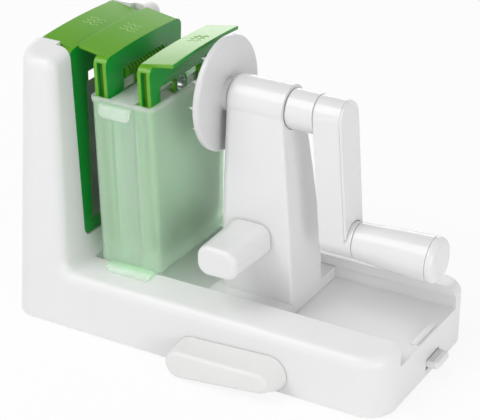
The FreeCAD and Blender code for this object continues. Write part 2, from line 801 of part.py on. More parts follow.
def suction_lever(doc, s):
    """A long grip with a round hub; it narrows towards the front face."""
    body = new_body(doc, "suction_lever")
    root = -s.base_width / 2 - s.slide_gap * 2
    front = root - s.lever_depth
    tip = -s.lever_reach
    blend(body, "Grip", "Y", [
        (root, lambda sk: pill(sk, (tip, -1.2), s.lever_tip_radius, (0.0, 0.0), s.lever_hub_radius)),
        (front, lambda sk: pill(sk, (tip - 1, -2.6), s.lever_tip_radius - 1.2,
                                (2.5, 2.1), s.lever_hub_radius - 7))])
    fillet(body, "FrontEdge", 3.2, lambda e: level(e, "y", front))
    half = s.spindle_square / 2 + s.running_gap
    prism(body, "SquareHole", "Y", root - 10.5, root + 1,
          lambda sk: rectangle(sk, (-half, -half), (half, half)), cut=True)
    return stand(s, body, s.lever_x, 0.0, s.lever_height)


# ---------------------------------------------------------------- release latch

def latch_start(s):
    return s.open_end - s.latch_inset


def latch_end(s):
    return latch_start(s) + s.latch_thickness


def latch_spring_spot(s):
    return (latch_start(s) - 4.5, as_size(0.0))


def release_latch(doc, s):
    body = new_body(doc, "release_latch")
    roof = s.floor_height - s.wall - s.slide_gap
    low = s.latch_tab_bottom
    start, tip = latch_start(s), s.open_end + s.latch_tab_reach
    tab_left = s.latch_tab_offset - s.latch_tab_half
    tab_right = s.latch_tab_offset + s.latch_tab_half
    prism(body, "Hook", "Z", roof - 1, s.latch_top, lambda sk: rectangle(
        sk, (start, -s.latch_half), (latch_end(s), s.latch_half)))
    chamfer(body, "HookRamp", 1.8, lambda e: runs(e, "y") and near(middle(e).z, s.latch_top)
            and near(middle(e).x, start))
    prism(body, "Web", "Z", low, roof, lambda sk: rectangle(
        sk, (start, -s.latch_half), (s.open_end - s.wall - s.slide_gap, tab_right)))
    prism(body, "Tab", "Z", low, low + 4.4, lambda sk: rectangle(sk, (start, tab_left), (tip, tab_right)))
    fillet(body, "TabCorners", 2.4, lambda e: runs(e, "z") and near(middle(e).x, tip))
    fillet(body, "TabNose", 1.6, lambda e: level(e, "z", low + 4.4) and middle(e).x > float(tip) - 3)
    prism(body, "Ridges", "Z", low + 4, low + 5.1, lambda sk: [
        rectangle(sk, (s.open_end + 0.9 + 1.8 * i, tab_left + 1.6),
                  (s.open_end + 1.7 + 1.8 * i, tab_right - 1.6)) for i in range(3)])
    spot = latch_spring_spot(s)
    prism(body, "SpringBoss", "Z", low, low + 13, lambda sk: pill(sk, spot, 4.5, (start - 1, 0.0), 4.4))
    prism(body, "SpringBore", "Z", low - 1, low + 11, lambda sk: circle(sk, spot, 3.5), cut=True)
    return stand(s, body)


def latch_spring(doc, s):
    """A wire coil between the bottom cover and the latch, its section a hexagon."""
    low = float(s.foot_gap + s.wall) + 0.2
    high = float(s.latch_tab_bottom) + 11 - 0.5
    mean, wire, turns = 2.75, 0.38, 5.0
    coil = Part.makeHelix((high - low) / turns, high - low, mean)
    angles = [i * math.pi / 3 for i in range(7)]
    corners = [Vector(mean + wire * math.cos(angle), 0, wire * math.sin(angle)) for angle in angles]
    shape = Part.Wire(coil.Edges).makePipeShell([Part.makePolygon(corners)], True, True)
    spring = doc.addObject("Part::Feature", "latch_spring")
    spring.Label = "latch_spring"
    spring.Shape = shape
    x, y = latch_spring_spot(s)
    return stand(s, spring, x, y, low)


# ---------------------------------------------------------------- blade cartridges
# A cartridge is drawn with its feed face at X = 0 and its body towards -X.

def cutting_height(s):
    """Height of the cutting edge: just below the crank axis."""
    return s.axis_height - 1


def frame_face(sk, s, low, high, rise):
    """Trapezoid with a bowed top, drawn in the frame's own plane."""
    bottom = frame_half(s, low)
    bowed_shape(sk, frame_half(s, high), high, rise, [(-bottom, low), (bottom, low)])


def flange_band(sk, s, half, height):
    """Cross section of the bowed top flange."""
    under = height - s.flange_thickness
    upper = bowed_edge(sk, half, height, s.flange_arch)
    lower = bowed_edge(sk, half, under, s.flange_arch)
    straight(sk, upper, 1, lower, 1, (half, height), (half, under))
    straight(sk, upper, 2, lower, 2, (-half, height), (-half, under))


def cartridge_frame(doc, s, name, window_low, window_high):
    """Grooved frame with a top flange, a recess behind and a window for the blade."""
    body = new_body(doc, name)
    back = -s.frame_thickness
    zero = as_size(0.0)
    top = s.frame_top - s.flange_thickness * 0.2
    prism(body, "Plate", "X", back, zero, lambda sk: frame_face(sk, s, s.frame_bottom, top, s.flange_arch))
    fillet(body, "LowerCorners", s.frame_corner,
           lambda e: runs(e, "x") and near(middle(e).z, s.frame_bottom))
    fillet(body, "Shoulders", s.frame_shoulder, lambda e: runs(e, "x") and near(middle(e).z, top))
    blend(body, "Flange", "X", [
        (-s.flange_depth, lambda sk: flange_band(sk, s, s.flange_half, s.frame_top + s.flange_rise)),
        (zero, lambda sk: flange_band(sk, s, s.flange_half, s.frame_top))])
    low = s.frame_bottom + s.groove_depth
    high = s.frame_top - s.groove_depth
    outer = s.frame_half_top + 10
    centre = back / 2
    reach = s.groove_width / 2
    prism(body, "Groove", "X", centre - reach, centre + reach, lambda sk: outline(sk, [
        (-outer, high), (-outer, low - 20), (outer, low - 20), (outer, high),
        (frame_half(s, high) - s.groove_depth, high), (frame_half(s, low) - s.groove_depth, low),
        (s.groove_depth - frame_half(s, low), low), (s.groove_depth - frame_half(s, high), high)]), cut=True)
    inset = s.groove_depth + 1.6
    low = s.frame_bottom + inset
    high = s.frame_top - s.flange_thickness * 5.5
    prism(body, "Recess", "X", back, -s.web_thickness, lambda sk: outline(sk, [
        (inset - frame_half(s, low), low), (frame_half(s, low) - inset, low),
        (frame_half(s, high) - inset, high), (inset - frame_half(s, high), high)]), cut=True)
    fillet(body, "RecessTop", 14.0, lambda e: runs(e, "x") and near(middle(e).z, high)
           and middle(e).x < -float(s.web_thickness))
    fillet(body, "RecessBottom", 4.0, lambda e: runs(e, "x") and near(middle(e).z, low)
           and middle(e).x < -float(s.web_thickness))
    prism(body, "Window", "X", back, zero + 1, lambda sk: rectangle(
        sk, (-s.window_half, window_low), (s.window_half, window_high)), cut=True)
    return body


def core_boss(body, s, window_high):
    """The round seat of the coring ring, held in the window by a short bridge."""
    rear = -s.web_thickness
    front = -s.blade_thickness - s.seat_gap
    prism(body, "Bridge", "X", rear, front, lambda sk: rectangle(
        sk, (-3.0, s.axis_height), (3.0, window_high + 1)))
    prism(body, "CoreSeat", "X", rear, front, lambda sk: circle(
        sk, (0.0, s.axis_height), s.core_radius + 2.5))
    prism(body, "CoreBore", "X", rear - 1, as_size(1.0), lambda sk: circle(
        sk, (0.0, s.axis_height), s.core_radius + s.running_gap), cut=True)


def blade_seat(body, s, name, low, high):
    depth = s.blade_thickness + s.seat_gap
    edge = s.window_half + s.blade_margin + s.running_gap
    prism(body, name, "X", -depth, as_size(1.0),
          lambda sk: rectangle(sk, (-edge, low), (edge, high)), cut=True)


def blade_frame(doc, s, name, blade_height, comb):
    cut_z = cutting_height(s)
    window_high = cut_z + s.slit_height
    window_low = cut_z - blade_height + s.blade_margin
    body = cartridge_frame(doc, s, name, window_low, window_high)
    core_boss(body, s, window_high)
    low = cut_z - blade_height - s.running_gap
    blade_seat(body, s, "BladeSeat", low, cut_z)
    if comb:
        blade_seat(body, s, "CombSeat", window_high + 1, window_high + 1 + s.comb_height + s.running_gap * 2)
    return body


def blade(doc, s, name, height):
    """A flat steel blade, ground to an edge along its top, with a notch for the coring ring."""
    body = new_body(doc, name)
    edge = s.window_half + s.blade_margin
    cut_z = cutting_height(s)
    rear = -s.blade_thickness - s.seat_gap / 2
    front = -s.seat_gap / 2
    prism(body, "Sheet", "X", rear, front, lambda sk: rectangle(sk, (-edge, cut_z - height), (edge, cut_z)))
    prism(body, "Notch", "X", rear - 1, front + 1, lambda sk: circle(
        sk, (0.0, s.axis_height), s.core_radius + s.slide_gap), cut=True)
    chamfer(body, "Edge", s.blade_thickness * 0.8,
            lambda e: runs(e, "y") and near(middle(e).z, cut_z) and near(middle(e).x, rear))
    return body


def comb(doc, s, name, pitch):
    """A strip with upright teeth that split the slice into strands."""
    body = new_body(doc, name)
    edge = s.window_half + s.blade_margin
    low = cutting_height(s) + s.slit_height + 1 + s.running_gap
    rear = -s.blade_thickness - s.seat_gap / 2
    front = -s.seat_gap / 2
    prism(body, "Strip", "X", rear, front,
          lambda sk: rectangle(sk, (-edge, low), (edge, low + s.comb_height)))
    count = int(2 * float(edge - 1) / float(pitch))
    first = pitch * (0.5 - count / 2)
    half = s.tooth_thickness / 2
    for i in range(count):
        centre = first + pitch * i
        prism(body, "Tooth%d" % (i + 1), "Y", centre - half, centre + half, lambda sk: outline(sk, [
            (front - 0.3, low), (front + s.tooth_reach, low + 0.6),
            (front + s.tooth_reach, low + s.comb_height - 2), (front - 0.3, low + s.comb_height)]))
    return body


def core_ring(doc, s, name):
    """A thin steel tube that lets the core of the vegetable pass."""
    body = new_body(doc, name)
    prism(body, "Tube", "X", -s.web_thickness, s.core_reach, lambda sk: (
        circle(sk, (0.0, s.axis_height), s.core_radius),
        circle(sk, (0.0, s.axis_height), s.core_radius - s.core_wall)))
    chamfer(body, "Rim", s.core_wall * 0.6,
            lambda e: level(e, "x", s.core_reach) and near(e.Curve.Radius, s.core_radius, 0.01))
    return body


def cartridges(doc, s):
    """Ribbon blade in the tower, fine and coarse combs in the storage box."""
    ribbon_height = cutting_height(s) - s.frame_bottom - 10
    sets = (("ribbon", ribbon_height, None, tower_face(s), 0.0),
            ("fine", s.slicing_blade_height, s.fine_pitch, s.fine_frame_x, 0.0),
            ("coarse", s.slicing_blade_height, s.coarse_pitch, s.coarse_frame_x, 180.0))
    pieces = []
    for kind, height, pitch, x, turn in sets:
        group = [blade_frame(doc, s, kind + "_frame", height, pitch is not None),
                 blade(doc, s, kind + "_blade", height),
                 core_ring(doc, s, kind + "_core_ring")]
        if pitch is not None:
            group.append(comb(doc, s, kind + "_comb", pitch))
        pieces += [stand(s, piece, x, turn=turn) for piece in group]
    return pieces


# ---------------------------------------------------------------- storage box

def box_half(s, height):
    slope = (s.box_half_top - s.box_half_bottom) / (s.box_rim - s.box_bottom)
    return s.box_half_bottom + slope * (as_size(height) - s.box_bottom)


def taper(s, x0, x1, inset, heights, radius, far_radius=None):
    """Sections of a well or shell whose front and rear walls lean outwards."""
    def section(height):
        half = box_half(s, height) - inset
        return as_size(height), lambda sk: rounded_rectangle(sk, (x0, -half), (x1, half), radius, far_radius)
    return [section(height) for height in heights]


def storage_box(doc, s):
    body = new_body(doc, "storage_box")
    gap = s.slide_gap
    wall = s.box_wall
    well_a = (s.fine_frame_x - s.frame_thickness - gap, s.fine_frame_x + s.core_reach + gap * 2)
    well_b = (s.coarse_frame_x - s.core_reach - gap * 2, s.coarse_frame_x + s.frame_thickness + gap)
    left = well_a[0] - wall
    right = well_b[1] + wall
    floor = s.frame_bottom - s.seat_gap
    inner = s.box_corner - wall
    bevel = s.box_bevel
    near_r, far_r = s.box_corner, s.box_far_corner
    base = taper(s, left + bevel, right - bevel, bevel, [s.box_bottom], near_r - bevel, far_r - bevel)
    sides = taper(s, left, right, as_size(0.0), [s.box_bottom + bevel, s.box_rim], near_r, far_r)
    blend(body, "Shell", "Z", base + sides)
    prism(body, "Rim", "Z", s.box_rim - s.rim_height, s.box_rim, lambda sk: rounded_rectangle(
        sk, (left - s.rim_lip, -s.box_half_top - s.rim_lip), (right + s.rim_lip, s.box_half_top + s.rim_lip),
        near_r + s.rim_lip, far_r + s.rim_lip))
    box_tab(body, s, (left + right) / 2 + s.tab_offset)
    box_feet(body, s, (left + right) / 2 + s.box_foot_offset)
    for name, (x0, x1) in (("WellA", well_a), ("WellB", well_b)):
        blend(body, name, "Z", taper(s, x0, x1, wall, [floor, s.box_rim + 1], gap), cut=True)
        blend(body, name + "Under", "Z", taper(
            s, x0, x1, bevel + wall, [s.box_bottom - 5, floor - wall], inner), cut=True)
    blend(body, "Void", "Z", taper(s, well_a[1] + wall, well_b[0] - wall, bevel + wall,
                                   [s.box_bottom - 5, s.box_rim - wall], inner), cut=True)
    return stand(s, body)


def box_tab(body, s, centre):
    """A curled finger tab on the front wall, just below the rim."""
    root = s.box_wall - s.box_half_top
    front = -s.box_half_top - s.rim_lip - s.tab_reach
    high = s.box_rim - s.rim_height + 0.5
    low = s.box_rim - s.tab_drop
    thick = s.box_wall
    prism(body, "Tab", "X", centre - s.tab_width / 2, centre + s.tab_width / 2, lambda sk: outline(sk, [
        (root, high), (front, high), (front - 0.8, low), (front - 0.8 + thick, low),
        (front + thick, high - thick), (root, high - thick)]))
    fillet(body, "TabCorners", 4.0, lambda e: runs(e, "y") and near(middle(e).z, low))
    fillet(body, "TabCurl", 2.4, lambda e: runs(e, "x") and near(middle(e).z, high)
           and near(middle(e).y, front))


def box_feet(body, s, centre):
    """Short feet, one at the front and one at the rear, that stand on the crowned rails."""
    half = s.box_foot_length / 2
    lift = s.seat_gap + 0.08
    top = s.box_bottom + 1.5
    inner, outer = s.box_half_bottom - 4, s.box_foot_reach
    for name, sign in (("Front", -1), ("Rear", 1)):
        prism(body, name + "Foot", "X", centre - half, centre + half, lambda sk: outline(sk, [
            (sign * inner, deck(s, inner) + lift), (sign * outer, deck(s, outer) + lift),
            (sign * outer, top), (sign * inner, top)]))
        fillet(body, name + "FootCorners", 3.0, lambda e: runs(e, "z") and near(middle(e).y, sign * outer))
        fillet(body, name + "FootTop", 0.8, lambda e: level(e, "z", top) and (
            abs(middle(e).y) > float(s.box_half_bottom) + 5))


# ---------------------------------------------------------------- carriage

# The carriage's own origin is on the crank axis, so its floor lies below zero.

def carriage_floor(s):
    return s.floor_height + s.seat_gap - s.axis_height


def sled_top(s):
    """Top of the sled, which runs under the lips of the rails."""
    return s.lip_underside - s.slide_gap - s.axis_height


def sled_half(s):
    return s.channel_half + s.lip_depth - s.slide_gap


def grip_height(s):
    """Height of the push grip's middle, a part of the way from the sled to the crank axis."""
    return s.axis_height + sled_top(s) * (1 - s.grip_rise)


def pedestal(s, low, high, inset):
    """Plan sections of the pedestal from its foot to the barrel; it narrows upwards."""
    foot = sled_top(s) - 1
    end, drift = s.barrel_end, s.sled_end - s.barrel_end
    half, top_half = s.pedestal_half, s.barrel_radius
    steps = ((0.0, drift, half), (0.5, drift * 0.62, half - 1.2), (0.82, drift * 0.24, top_half + 1.6),
             (1.0, drift * 0.0, top_half - 0.6))

    def section(x, y):
        return lambda sk: rounded_rectangle(
            sk, (s.pedestal_start + inset, inset - y), (end + x - inset, y - inset),
            s.barrel_nose - inset, s.face_edge)
    heights = [foot * (1 - part) for part, _, _ in steps]
    heights[0], heights[-1] = low, high
    return [(z, section(x, y)) for z, (_, x, y) in zip(heights, steps)]


def carriage_boss_spots(s):
    middle_x = (s.sled_start + s.sled_end) / 2
    reach = (s.sled_end - s.sled_start) / 2 - 8
    side = sled_half(s) - 8
    return [(middle_x + reach * i, side * j) for i in (-1, 1) for j in (-1, 1)]


def carriage_housing(doc, s):
    body = new_body(doc, "carriage_housing")
    low = carriage_floor(s)
    top = sled_top(s)
    half = sled_half(s)
    wall = s.wall
    zero = as_size(0.0)
    prism(body, "Barrel", "X", s.pedestal_start, s.barrel_end,
          lambda sk: circle(sk, (0.0, 0.0), s.barrel_radius))
    fillet(body, "BarrelNose", s.barrel_nose, lambda e: level(e, "x", s.pedestal_start))
    prism(body, "Sled", "Z", low, top, lambda sk: rounded_rectangle(
        sk, (s.sled_start, -half), (s.sled_end, half), 1.5))
    blend(body, "Pedestal", "Z", pedestal(s, top - 1, zero, zero), ruled=False)
    prism(body, "HubRelief", "X", s.barrel_end, s.sled_end, lambda sk: circle(
        sk, (0.0, 0.0), s.hub_radius + s.slide_gap * 2), cut=True)
    prism(body, "SledHollow", "Z", low, top - wall, lambda sk: rectangle(
        sk, (s.sled_start + wall, wall - half), (s.sled_end - wall, half - wall)), cut=True)
    ceiling = -s.bush_radius - wall - 1
    blend(body, "PedestalHollow", "Z", pedestal(s, top - wall - 1, ceiling, wall), cut=True)
    prism(body, "ScrewBosses", "Z", low + 2.6, top - wall + 0.5,
          lambda sk: [circle(sk, spot, 3.5) for spot in carriage_boss_spots(s)])
    prism(body, "PilotHoles", "Z", low + 2, top - wall - 0.5,
          lambda sk: [circle(sk, spot, 1.4) for spot in carriage_boss_spots(s)], cut=True)
    bush = s.bush_radius + s.running_gap
    prism(body, "Bore", "X", s.pedestal_start - 1, s.barrel_end + 1,
          lambda sk: circle(sk, (0.0, 0.0), s.spindle_radius + 1.5), cut=True)
    prism(body, "RearBushSeat", "X", s.pedestal_start - 1, s.pedestal_start + s.bush_length,
          lambda sk: circle(sk, (0.0, 0.0), bush), cut=True)
    prism(body, "FrontBushSeat", "X", s.barrel_end - s.bush_length, s.barrel_end + 1,
          lambda sk: circle(sk, (0.0, 0.0), bush), cut=True)
    prism(body, "GripHole", "Y", -s.pedestal_half - 3, wall * 2 - s.pedestal_half, lambda sk: circle(
        sk, (s.grip_x, grip_height(s) - s.axis_height), s.grip_shank + s.running_gap), cut=True)
    return stand(s, body, z=s.axis_height)


def carriage_bottom(doc, s):
    body = new_body(doc, "carriage_bottom")
    low = carriage_floor(s)
    inset = s.wall + s.slide_gap
    half = sled_half(s) - inset
    prism(body, "Plate", "Z", low, low + 2.5, lambda sk: rectangle(
        sk, (s.sled_start + inset, -half), (s.sled_end - inset, half)))
    prism(body, "ScrewHoles", "Z", low - 1, low + 3,
          lambda sk: [circle(sk, spot, 1.6) for spot in carriage_boss_spots(s)], cut=True)
    prism(body, "HeadRecesses", "Z", low - 1, low + 1.5,
          lambda sk: [circle(sk, spot, 3.1) for spot in carriage_boss_spots(s)], cut=True)
    return stand(s, body, z=s.axis_height)


def carriage_screws(doc, s):
    height = carriage_floor(s) + s.axis_height + 0.2
    spots = [(x, y, height) for x, y in carriage_boss_spots(s)]
    return screws(doc, s, "carriage_screws", spots, (0, 0, 1), 2.9, 1.3, 1.35, 5.0)


def bush(doc, s, name, start):
    body = new_body(doc, name)
    bore = s.spindle_radius + s.running_gap
    turned(body, "Sleeve", lambda sk: rectangle(sk, (0.0, bore), (s.bush_length, s.bush_radius)))
    chamfer(body, "Lead", 0.4, lambda e: near(e.Curve.Radius, s.bush_radius, 0.01) if e.Closed else False)
    return stand(s, body, start, z=s.axis_height)


def push_grip(doc, s):
    """Grip on the pedestal's front; its top is flatter than its underside."""
    body = new_body(doc, "push_grip")
    root = -s.pedestal_half - s.slide_gap * 2
    end = -s.grip_reach
    width, depth = s.grip_width / 2, s.grip_depth / 2
    blend(body, "Grip", "Y", [
        (root, lambda sk: rounded_rectangle(
            sk, (-width - 1.2, -depth - 0.8), (width + 1.2, depth + 0.8), 9.5)),
        (end, lambda sk: rounded_rectangle(sk, (-width, -depth), (width, depth), 9.0))])
    fillet(body, "EndEdge", 4.0, lambda e: level(e, "y", end))
    prism(body, "Collar", "Y", root - 1, root + s.slide_gap, lambda sk: rounded_rectangle(
        sk, (1.5 - width, 1.5 - depth), (width - 1.5, depth - 1.5), 8.0))
    prism(body, "Shank", "Y", root - 1, s.wall + 1 - s.pedestal_half,
          lambda sk: circle(sk, (0.0, 0.0), s.grip_shank))
    prism(body, "Pilot", "Y", root - 18, s.wall + 2 - s.pedestal_half,
          lambda sk: circle(sk, (0.0, 0.0), 2.0), cut=True)
    return stand(s, body, s.grip_x, z=grip_height(s))


def grip_screw(doc, s):
    spot = (s.grip_x, s.wall + 2.4 - s.pedestal_half, grip_height(s))
    return screws(doc, s, "grip_screw", [spot], (0, -1, 0), s.grip_shank + 1.4, 1.2, 1.95, 18.0)


# ---------------------------------------------------------------- crank
# Every piece of the crank has its own X axis on the crank axis.

def disc_hub_end(s):
    return s.pedestal_start - 0.6


def square(s, gap):
    half = s.spindle_square / 2 + gap
    return (-half, -half), (half, half)


def spiked_disc(doc, s):
    """Round plate with a hub behind and rings of pointed spikes on its face."""
    body = new_body(doc, "spiked_disc")
    face = s.disc_face
    rear = face + s.disc_thickness
    prism(body, "Plate", "X", face, rear, lambda sk: circle(sk, (0.0, 0.0), s.disc_radius))
    fillet(body, "RimFront", s.disc_thickness * 0.35, lambda e: level(e, "x", face))
    fillet(body, "RimRear", s.disc_thickness * 0.35, lambda e: level(e, "x", rear))
    prism(body, "Hub", "X", rear - 0.5, disc_hub_end(s), lambda sk: circle(sk, (0.0, 0.0), 12.0))
    fillet(body, "HubEdge", 1.0, lambda e: level(e, "x", disc_hub_end(s)))
    rings = ((s.spike_ring, 12, 0.0), (s.spike_inner_ring, 8, 0.5), (s.spike_centre_ring, 4, 0.0))
    turns = [(radius, 2 * math.pi * (i + shift) / count)
             for radius, count, shift in rings for i in range(count)]
    spots = [(radius * math.cos(angle), radius * math.sin(angle)) for radius, angle in turns]
    for i, spot in enumerate(spots):
        spike(body, s, "Spike%d" % (i + 1), spot)
    prism(body, "ScrewSeat", "X", face - 1, face + 2.6, lambda sk: circle(sk, (0.0, 0.0), 3.8), cut=True)
    prism(body, "ScrewHole", "X", face, face + 4, lambda sk: circle(sk, (0.0, 0.0), 2.2), cut=True)
    prism(body, "SquareSocket", "X", face + 3.8, disc_hub_end(s) + 1,
          lambda sk: rectangle(sk, *square(s, s.running_gap)), cut=True)
    return stand(s, body, z=s.axis_height)


def spike(body, s, name, spot):
    """A four sided point that stands on the disc's face."""
    y, z = spot
    root, tip = s.spike_radius, s.spike_radius * 0.16
    blend(body, name, "X", [
        (s.disc_face - s.spike_length, lambda sk: rectangle(sk, (y - tip, z - tip), (y + tip, z + tip))),
        (s.disc_face + 0.4, lambda sk: rectangle(sk, (y - root, z - root), (y + root, z + root)))])


def drive_spindle(doc, s):
    """Round in the bushes, square in the disc and in the crank, bored at both ends."""
    body = new_body(doc, "drive_spindle")
    left = s.disc_face + 4
    right = s.hub_end + 3.6
    prism(body, "Round", "X", disc_hub_end(s) + 0.1, s.barrel_end + 2,
          lambda sk: circle(sk, (0.0, 0.0), s.spindle_radius))
    prism(body, "SquareLeft", "X", left, disc_hub_end(s) + 0.5, lambda sk: rectangle(sk, *square(s, 0.0)))
    prism(body, "SquareRight", "X", s.barrel_end + 1.8, right, lambda sk: rectangle(sk, *square(s, 0.0)))
    prism(body, "LeftTap", "X", left - 1, left + 8, lambda sk: circle(sk, (0.0, 0.0), 2.0), cut=True)
    prism(body, "RightTap", "X", right - 9, right + 1, lambda sk: circle(sk, (0.0, 0.0), 2.0), cut=True)
    return stand(s, body, z=s.axis_height)


def disc_screw(doc, s):
    spot = (s.disc_face + 0.4, 0.0, s.axis_height)
    return screws(doc, s, "disc_screw", [spot], (1, 0, 0), 3.5, 2.2, 1.95, 10.5)


def crank_screw(doc, s):
    spot = (s.hub_end + 7.2, 0.0, s.axis_height)
    return screws(doc, s, "crank_screw", [spot], (-1, 0, 0), 4.4, 2.6, 1.95, 11.0)


def leaning(s, x, z):
    """X at a height of a face that leans outwards downwards, as both faces of the arm do."""
    return x - as_size(z) * (s.arm_drift / s.crank_radius)


def beyond(s, x, high, low, far):
    """Side view of all that lies past a leaning face, out to X far."""
    return [(leaning(s, x, high), high), (far, high), (far, low), (leaning(s, x, low), low)]


def crank_hub(doc, s):
    body = new_body(doc, "crank_hub")
    start = s.barrel_end + 0.6
    far = s.hub_end + 2
    above = s.hub_radius + 1
    prism(body, "Sleeve", "X", start, far, lambda sk: circle(sk, (0.0, 0.0), s.hub_radius))
    fillet(body, "InnerEdge", 0.8, lambda e: level(e, "x", start))
    prism(body, "OuterFace", "Y", -above, above, lambda sk: outline(
        sk, beyond(s, s.hub_end, above, -above, far + 1)), cut=True)
    prism(body, "Relief", "X", start - 1, start + 2.2,
          lambda sk: circle(sk, (0.0, 0.0), s.spindle_radius + 0.6), cut=True)
    prism(body, "SquareHole", "X", start + 2, s.hub_end + 1,
          lambda sk: rectangle(sk, *square(s, s.running_gap)), cut=True)
    return stand(s, body, z=s.axis_height)


def crank_arm(doc, s):
    """Leaning arm: a trough with a round top that a lid closes, and a boss for the handle."""
    body = new_body(doc, "crank_arm")
    start = s.hub_end + 0.1
    rim = s.arm_face - s.cover_thickness - 0.1
    foot = (0.0, -s.crank_radius)
    boss = s.handle_root_radius
    above = s.arm_half + 2
    below = -s.crank_radius - boss - 2
    floor = start + 10
    prism(body, "Bar", "X", start - 2, s.boss_end, lambda sk: pill(sk, (0.0, 0.0), s.arm_half, foot, boss))
    prism(body, "InnerFace", "Y", -above, above, lambda sk: outline(
        sk, beyond(s, start, above, below, start - 3)), cut=True)
    prism(body, "TroughRim", "Y", -above, above, lambda sk: outline(
        sk, beyond(s, rim, above, below, s.boss_end + 1)), cut=True)
    fillet(body, "InnerEdge", 1.0, lambda e: near(middle(e).x, leaning(s, start, middle(e).z), 0.1)
           and not runs(e, "y"))
    prism(body, "Boss", "X", floor, s.boss_end, lambda sk: circle(sk, foot, boss - 0.05))
    prism(body, "Trough", "X", floor, s.boss_end + 1, lambda sk: trough_outline(sk, s, 0.0), cut=True)
    prism(body, "ScrewSeat", "X", start + s.wall + 0.9, floor + 1,
          lambda sk: circle(sk, (0.0, 0.0), 5.0), cut=True)
    prism(body, "SquareHole", "X", start - 2, start + s.wall + 1,
          lambda sk: rectangle(sk, *square(s, s.running_gap)), cut=True)
    prism(body, "AxleHole", "X", s.boss_end - 12, s.boss_end + 1,
          lambda sk: circle(sk, foot, s.axle_radius + s.running_gap), cut=True)
    return stand(s, body, z=s.axis_height)


def trough_outline(sk, s, inset):
    """Outline of the hollow in the arm, made smaller by an amount."""
    half = s.arm_half - s.wall * 0.8 - inset
    pill(sk, (0.0, 0.0), half, (0.0, s.handle_root_radius * 2.3 - s.crank_radius), half - 0.4)


def crank_arm_cover(doc, s):
    """Lid over the whole face of the arm, notched round the handle's boss, with four catches inside."""
    body = new_body(doc, "crank_arm_cover")
    rim = s.arm_face - s.cover_thickness
    foot = (0.0, -s.crank_radius)
    boss = s.handle_root_radius
    above = s.arm_half + 2
    below = -s.crank_radius - boss - 2
    prism(body, "Lid", "X", rim - 3, s.boss_end + 1, lambda sk: pill(
        sk, (0.0, 0.0), s.arm_half - 0.2, foot, boss - 0.2))
    prism(body, "InnerFace", "Y", -above, above, lambda sk: outline(
        sk, beyond(s, rim, above, below, rim - 5)), cut=True)
    prism(body, "OuterFace", "Y", -above, above, lambda sk: outline(
        sk, beyond(s, s.arm_face, above, below, s.boss_end + 2)), cut=True)
    prism(body, "BossNotch", "X", rim - 4, s.boss_end + 1, lambda sk: circle(sk, foot, boss + 0.4), cut=True)
    fillet(body, "LidEdge", 0.7, lambda e: near(middle(e).x, leaning(s, s.arm_face, middle(e).z), 0.1)
           and math.hypot(middle(e).y, middle(e).z + float(s.crank_radius)) > float(boss) + 2)
    edge = s.arm_half - s.wall * 0.8 - 0.4
    for i, height in enumerate((-s.crank_radius * 0.07, -s.crank_radius * 0.55)):
        face = leaning(s, rim, height)
        prism(body, "Catches%d" % (i + 1), "X", face - 2.5, face + 0.8, lambda sk: [
            rectangle(sk, (low, height - 4), (low + 1.2, height + 4)) for low in (-edge, edge - 1.2)])
    return stand(s, body, z=s.axis_height)


# ---------------------------------------------------------------- handle
# The axle, its ring, the grip and the cap have their own X axis on the axle.

def handle_end(s):
    return s.boss_end + 0.3 + s.handle_length


def on_axle(body, s):
    return stand(s, body, z=s.axis_height - s.crank_radius)


def handle_axle(doc, s):
    body = new_body(doc, "handle_axle")
    end = handle_end(s) - 4.5
    turned(body, "Rod", lambda sk: rectangle(sk, (s.boss_end - 11.5, 0.0), (end, s.axle_radius)))
    prism(body, "RingGroove", "X", end - 2.6, end - 1.4, lambda sk: (
        circle(sk, (0.0, 0.0), s.axle_radius + 1), circle(sk, (0.0, 0.0), s.axle_radius - 0.8)), cut=True)
    chamfer(body, "EndEdge", 0.5, lambda e: level(e, "x", end))
    return on_axle(body, s)


def axle_ring(doc, s):
    body = new_body(doc, "axle_ring")
    end = handle_end(s) - 4.5
    prism(body, "Ring", "X", end - 2.5, end - 1.5, lambda sk: (
        circle(sk, (0.0, 0.0), s.axle_radius + 2.2), circle(sk, (0.0, 0.0), s.axle_radius - 0.75)))
    prism(body, "Gap", "X", end - 3, end - 1, lambda sk: rectangle(
        sk, (-1.4, 0.0), (1.4, s.axle_radius + 3)), cut=True)
    return on_axle(body, s)


def crank_handle(doc, s):
    """Hollow grip that widens to its outer end and runs on the axle."""
    body = new_body(doc, "crank_handle")
    start = s.boss_end + 0.3
    end = handle_end(s)
    bore = s.axle_radius + s.running_gap
    chamber = s.handle_root_radius - s.wall
    turned(body, "Grip", lambda sk: outline(sk, [
        (start, bore), (end - 8, bore), (end - 8, chamber), (end, chamber),
        (end, s.handle_end_radius), (start + s.handle_length * 0.45, s.handle_root_radius + 1.9),
        (start, s.handle_root_radius)]))
    fillet(body, "RootEdge", 0.6,
           lambda e: level(e, "x", start) and near(e.Curve.Radius, s.handle_root_radius, 0.01))
    return on_axle(body, s)


def handle_cap(doc, s):
    body = new_body(doc, "handle_cap")
    end = handle_end(s)
    plug = s.handle_root_radius - s.wall - s.running_gap
    turned(body, "Cap", lambda sk: outline(sk, [
        (end - 3, plug - 2), (end - 3, plug), (end + 0.3, plug), (end + 0.3, s.handle_end_radius),
        (end + s.cap_length, s.handle_end_radius), (end + s.cap_length, 0.0),
        (end + 2, 0.0), (end + 2, plug - 2)]))
    fillet(body, "CapEdge", s.cap_length * 0.8,
           lambda e: level(e, "x", end + s.cap_length) and near(e.Curve.Radius, s.handle_end_radius, 0.01))
    return on_axle(body, s)


# ---------------------------------------------------------------- writing

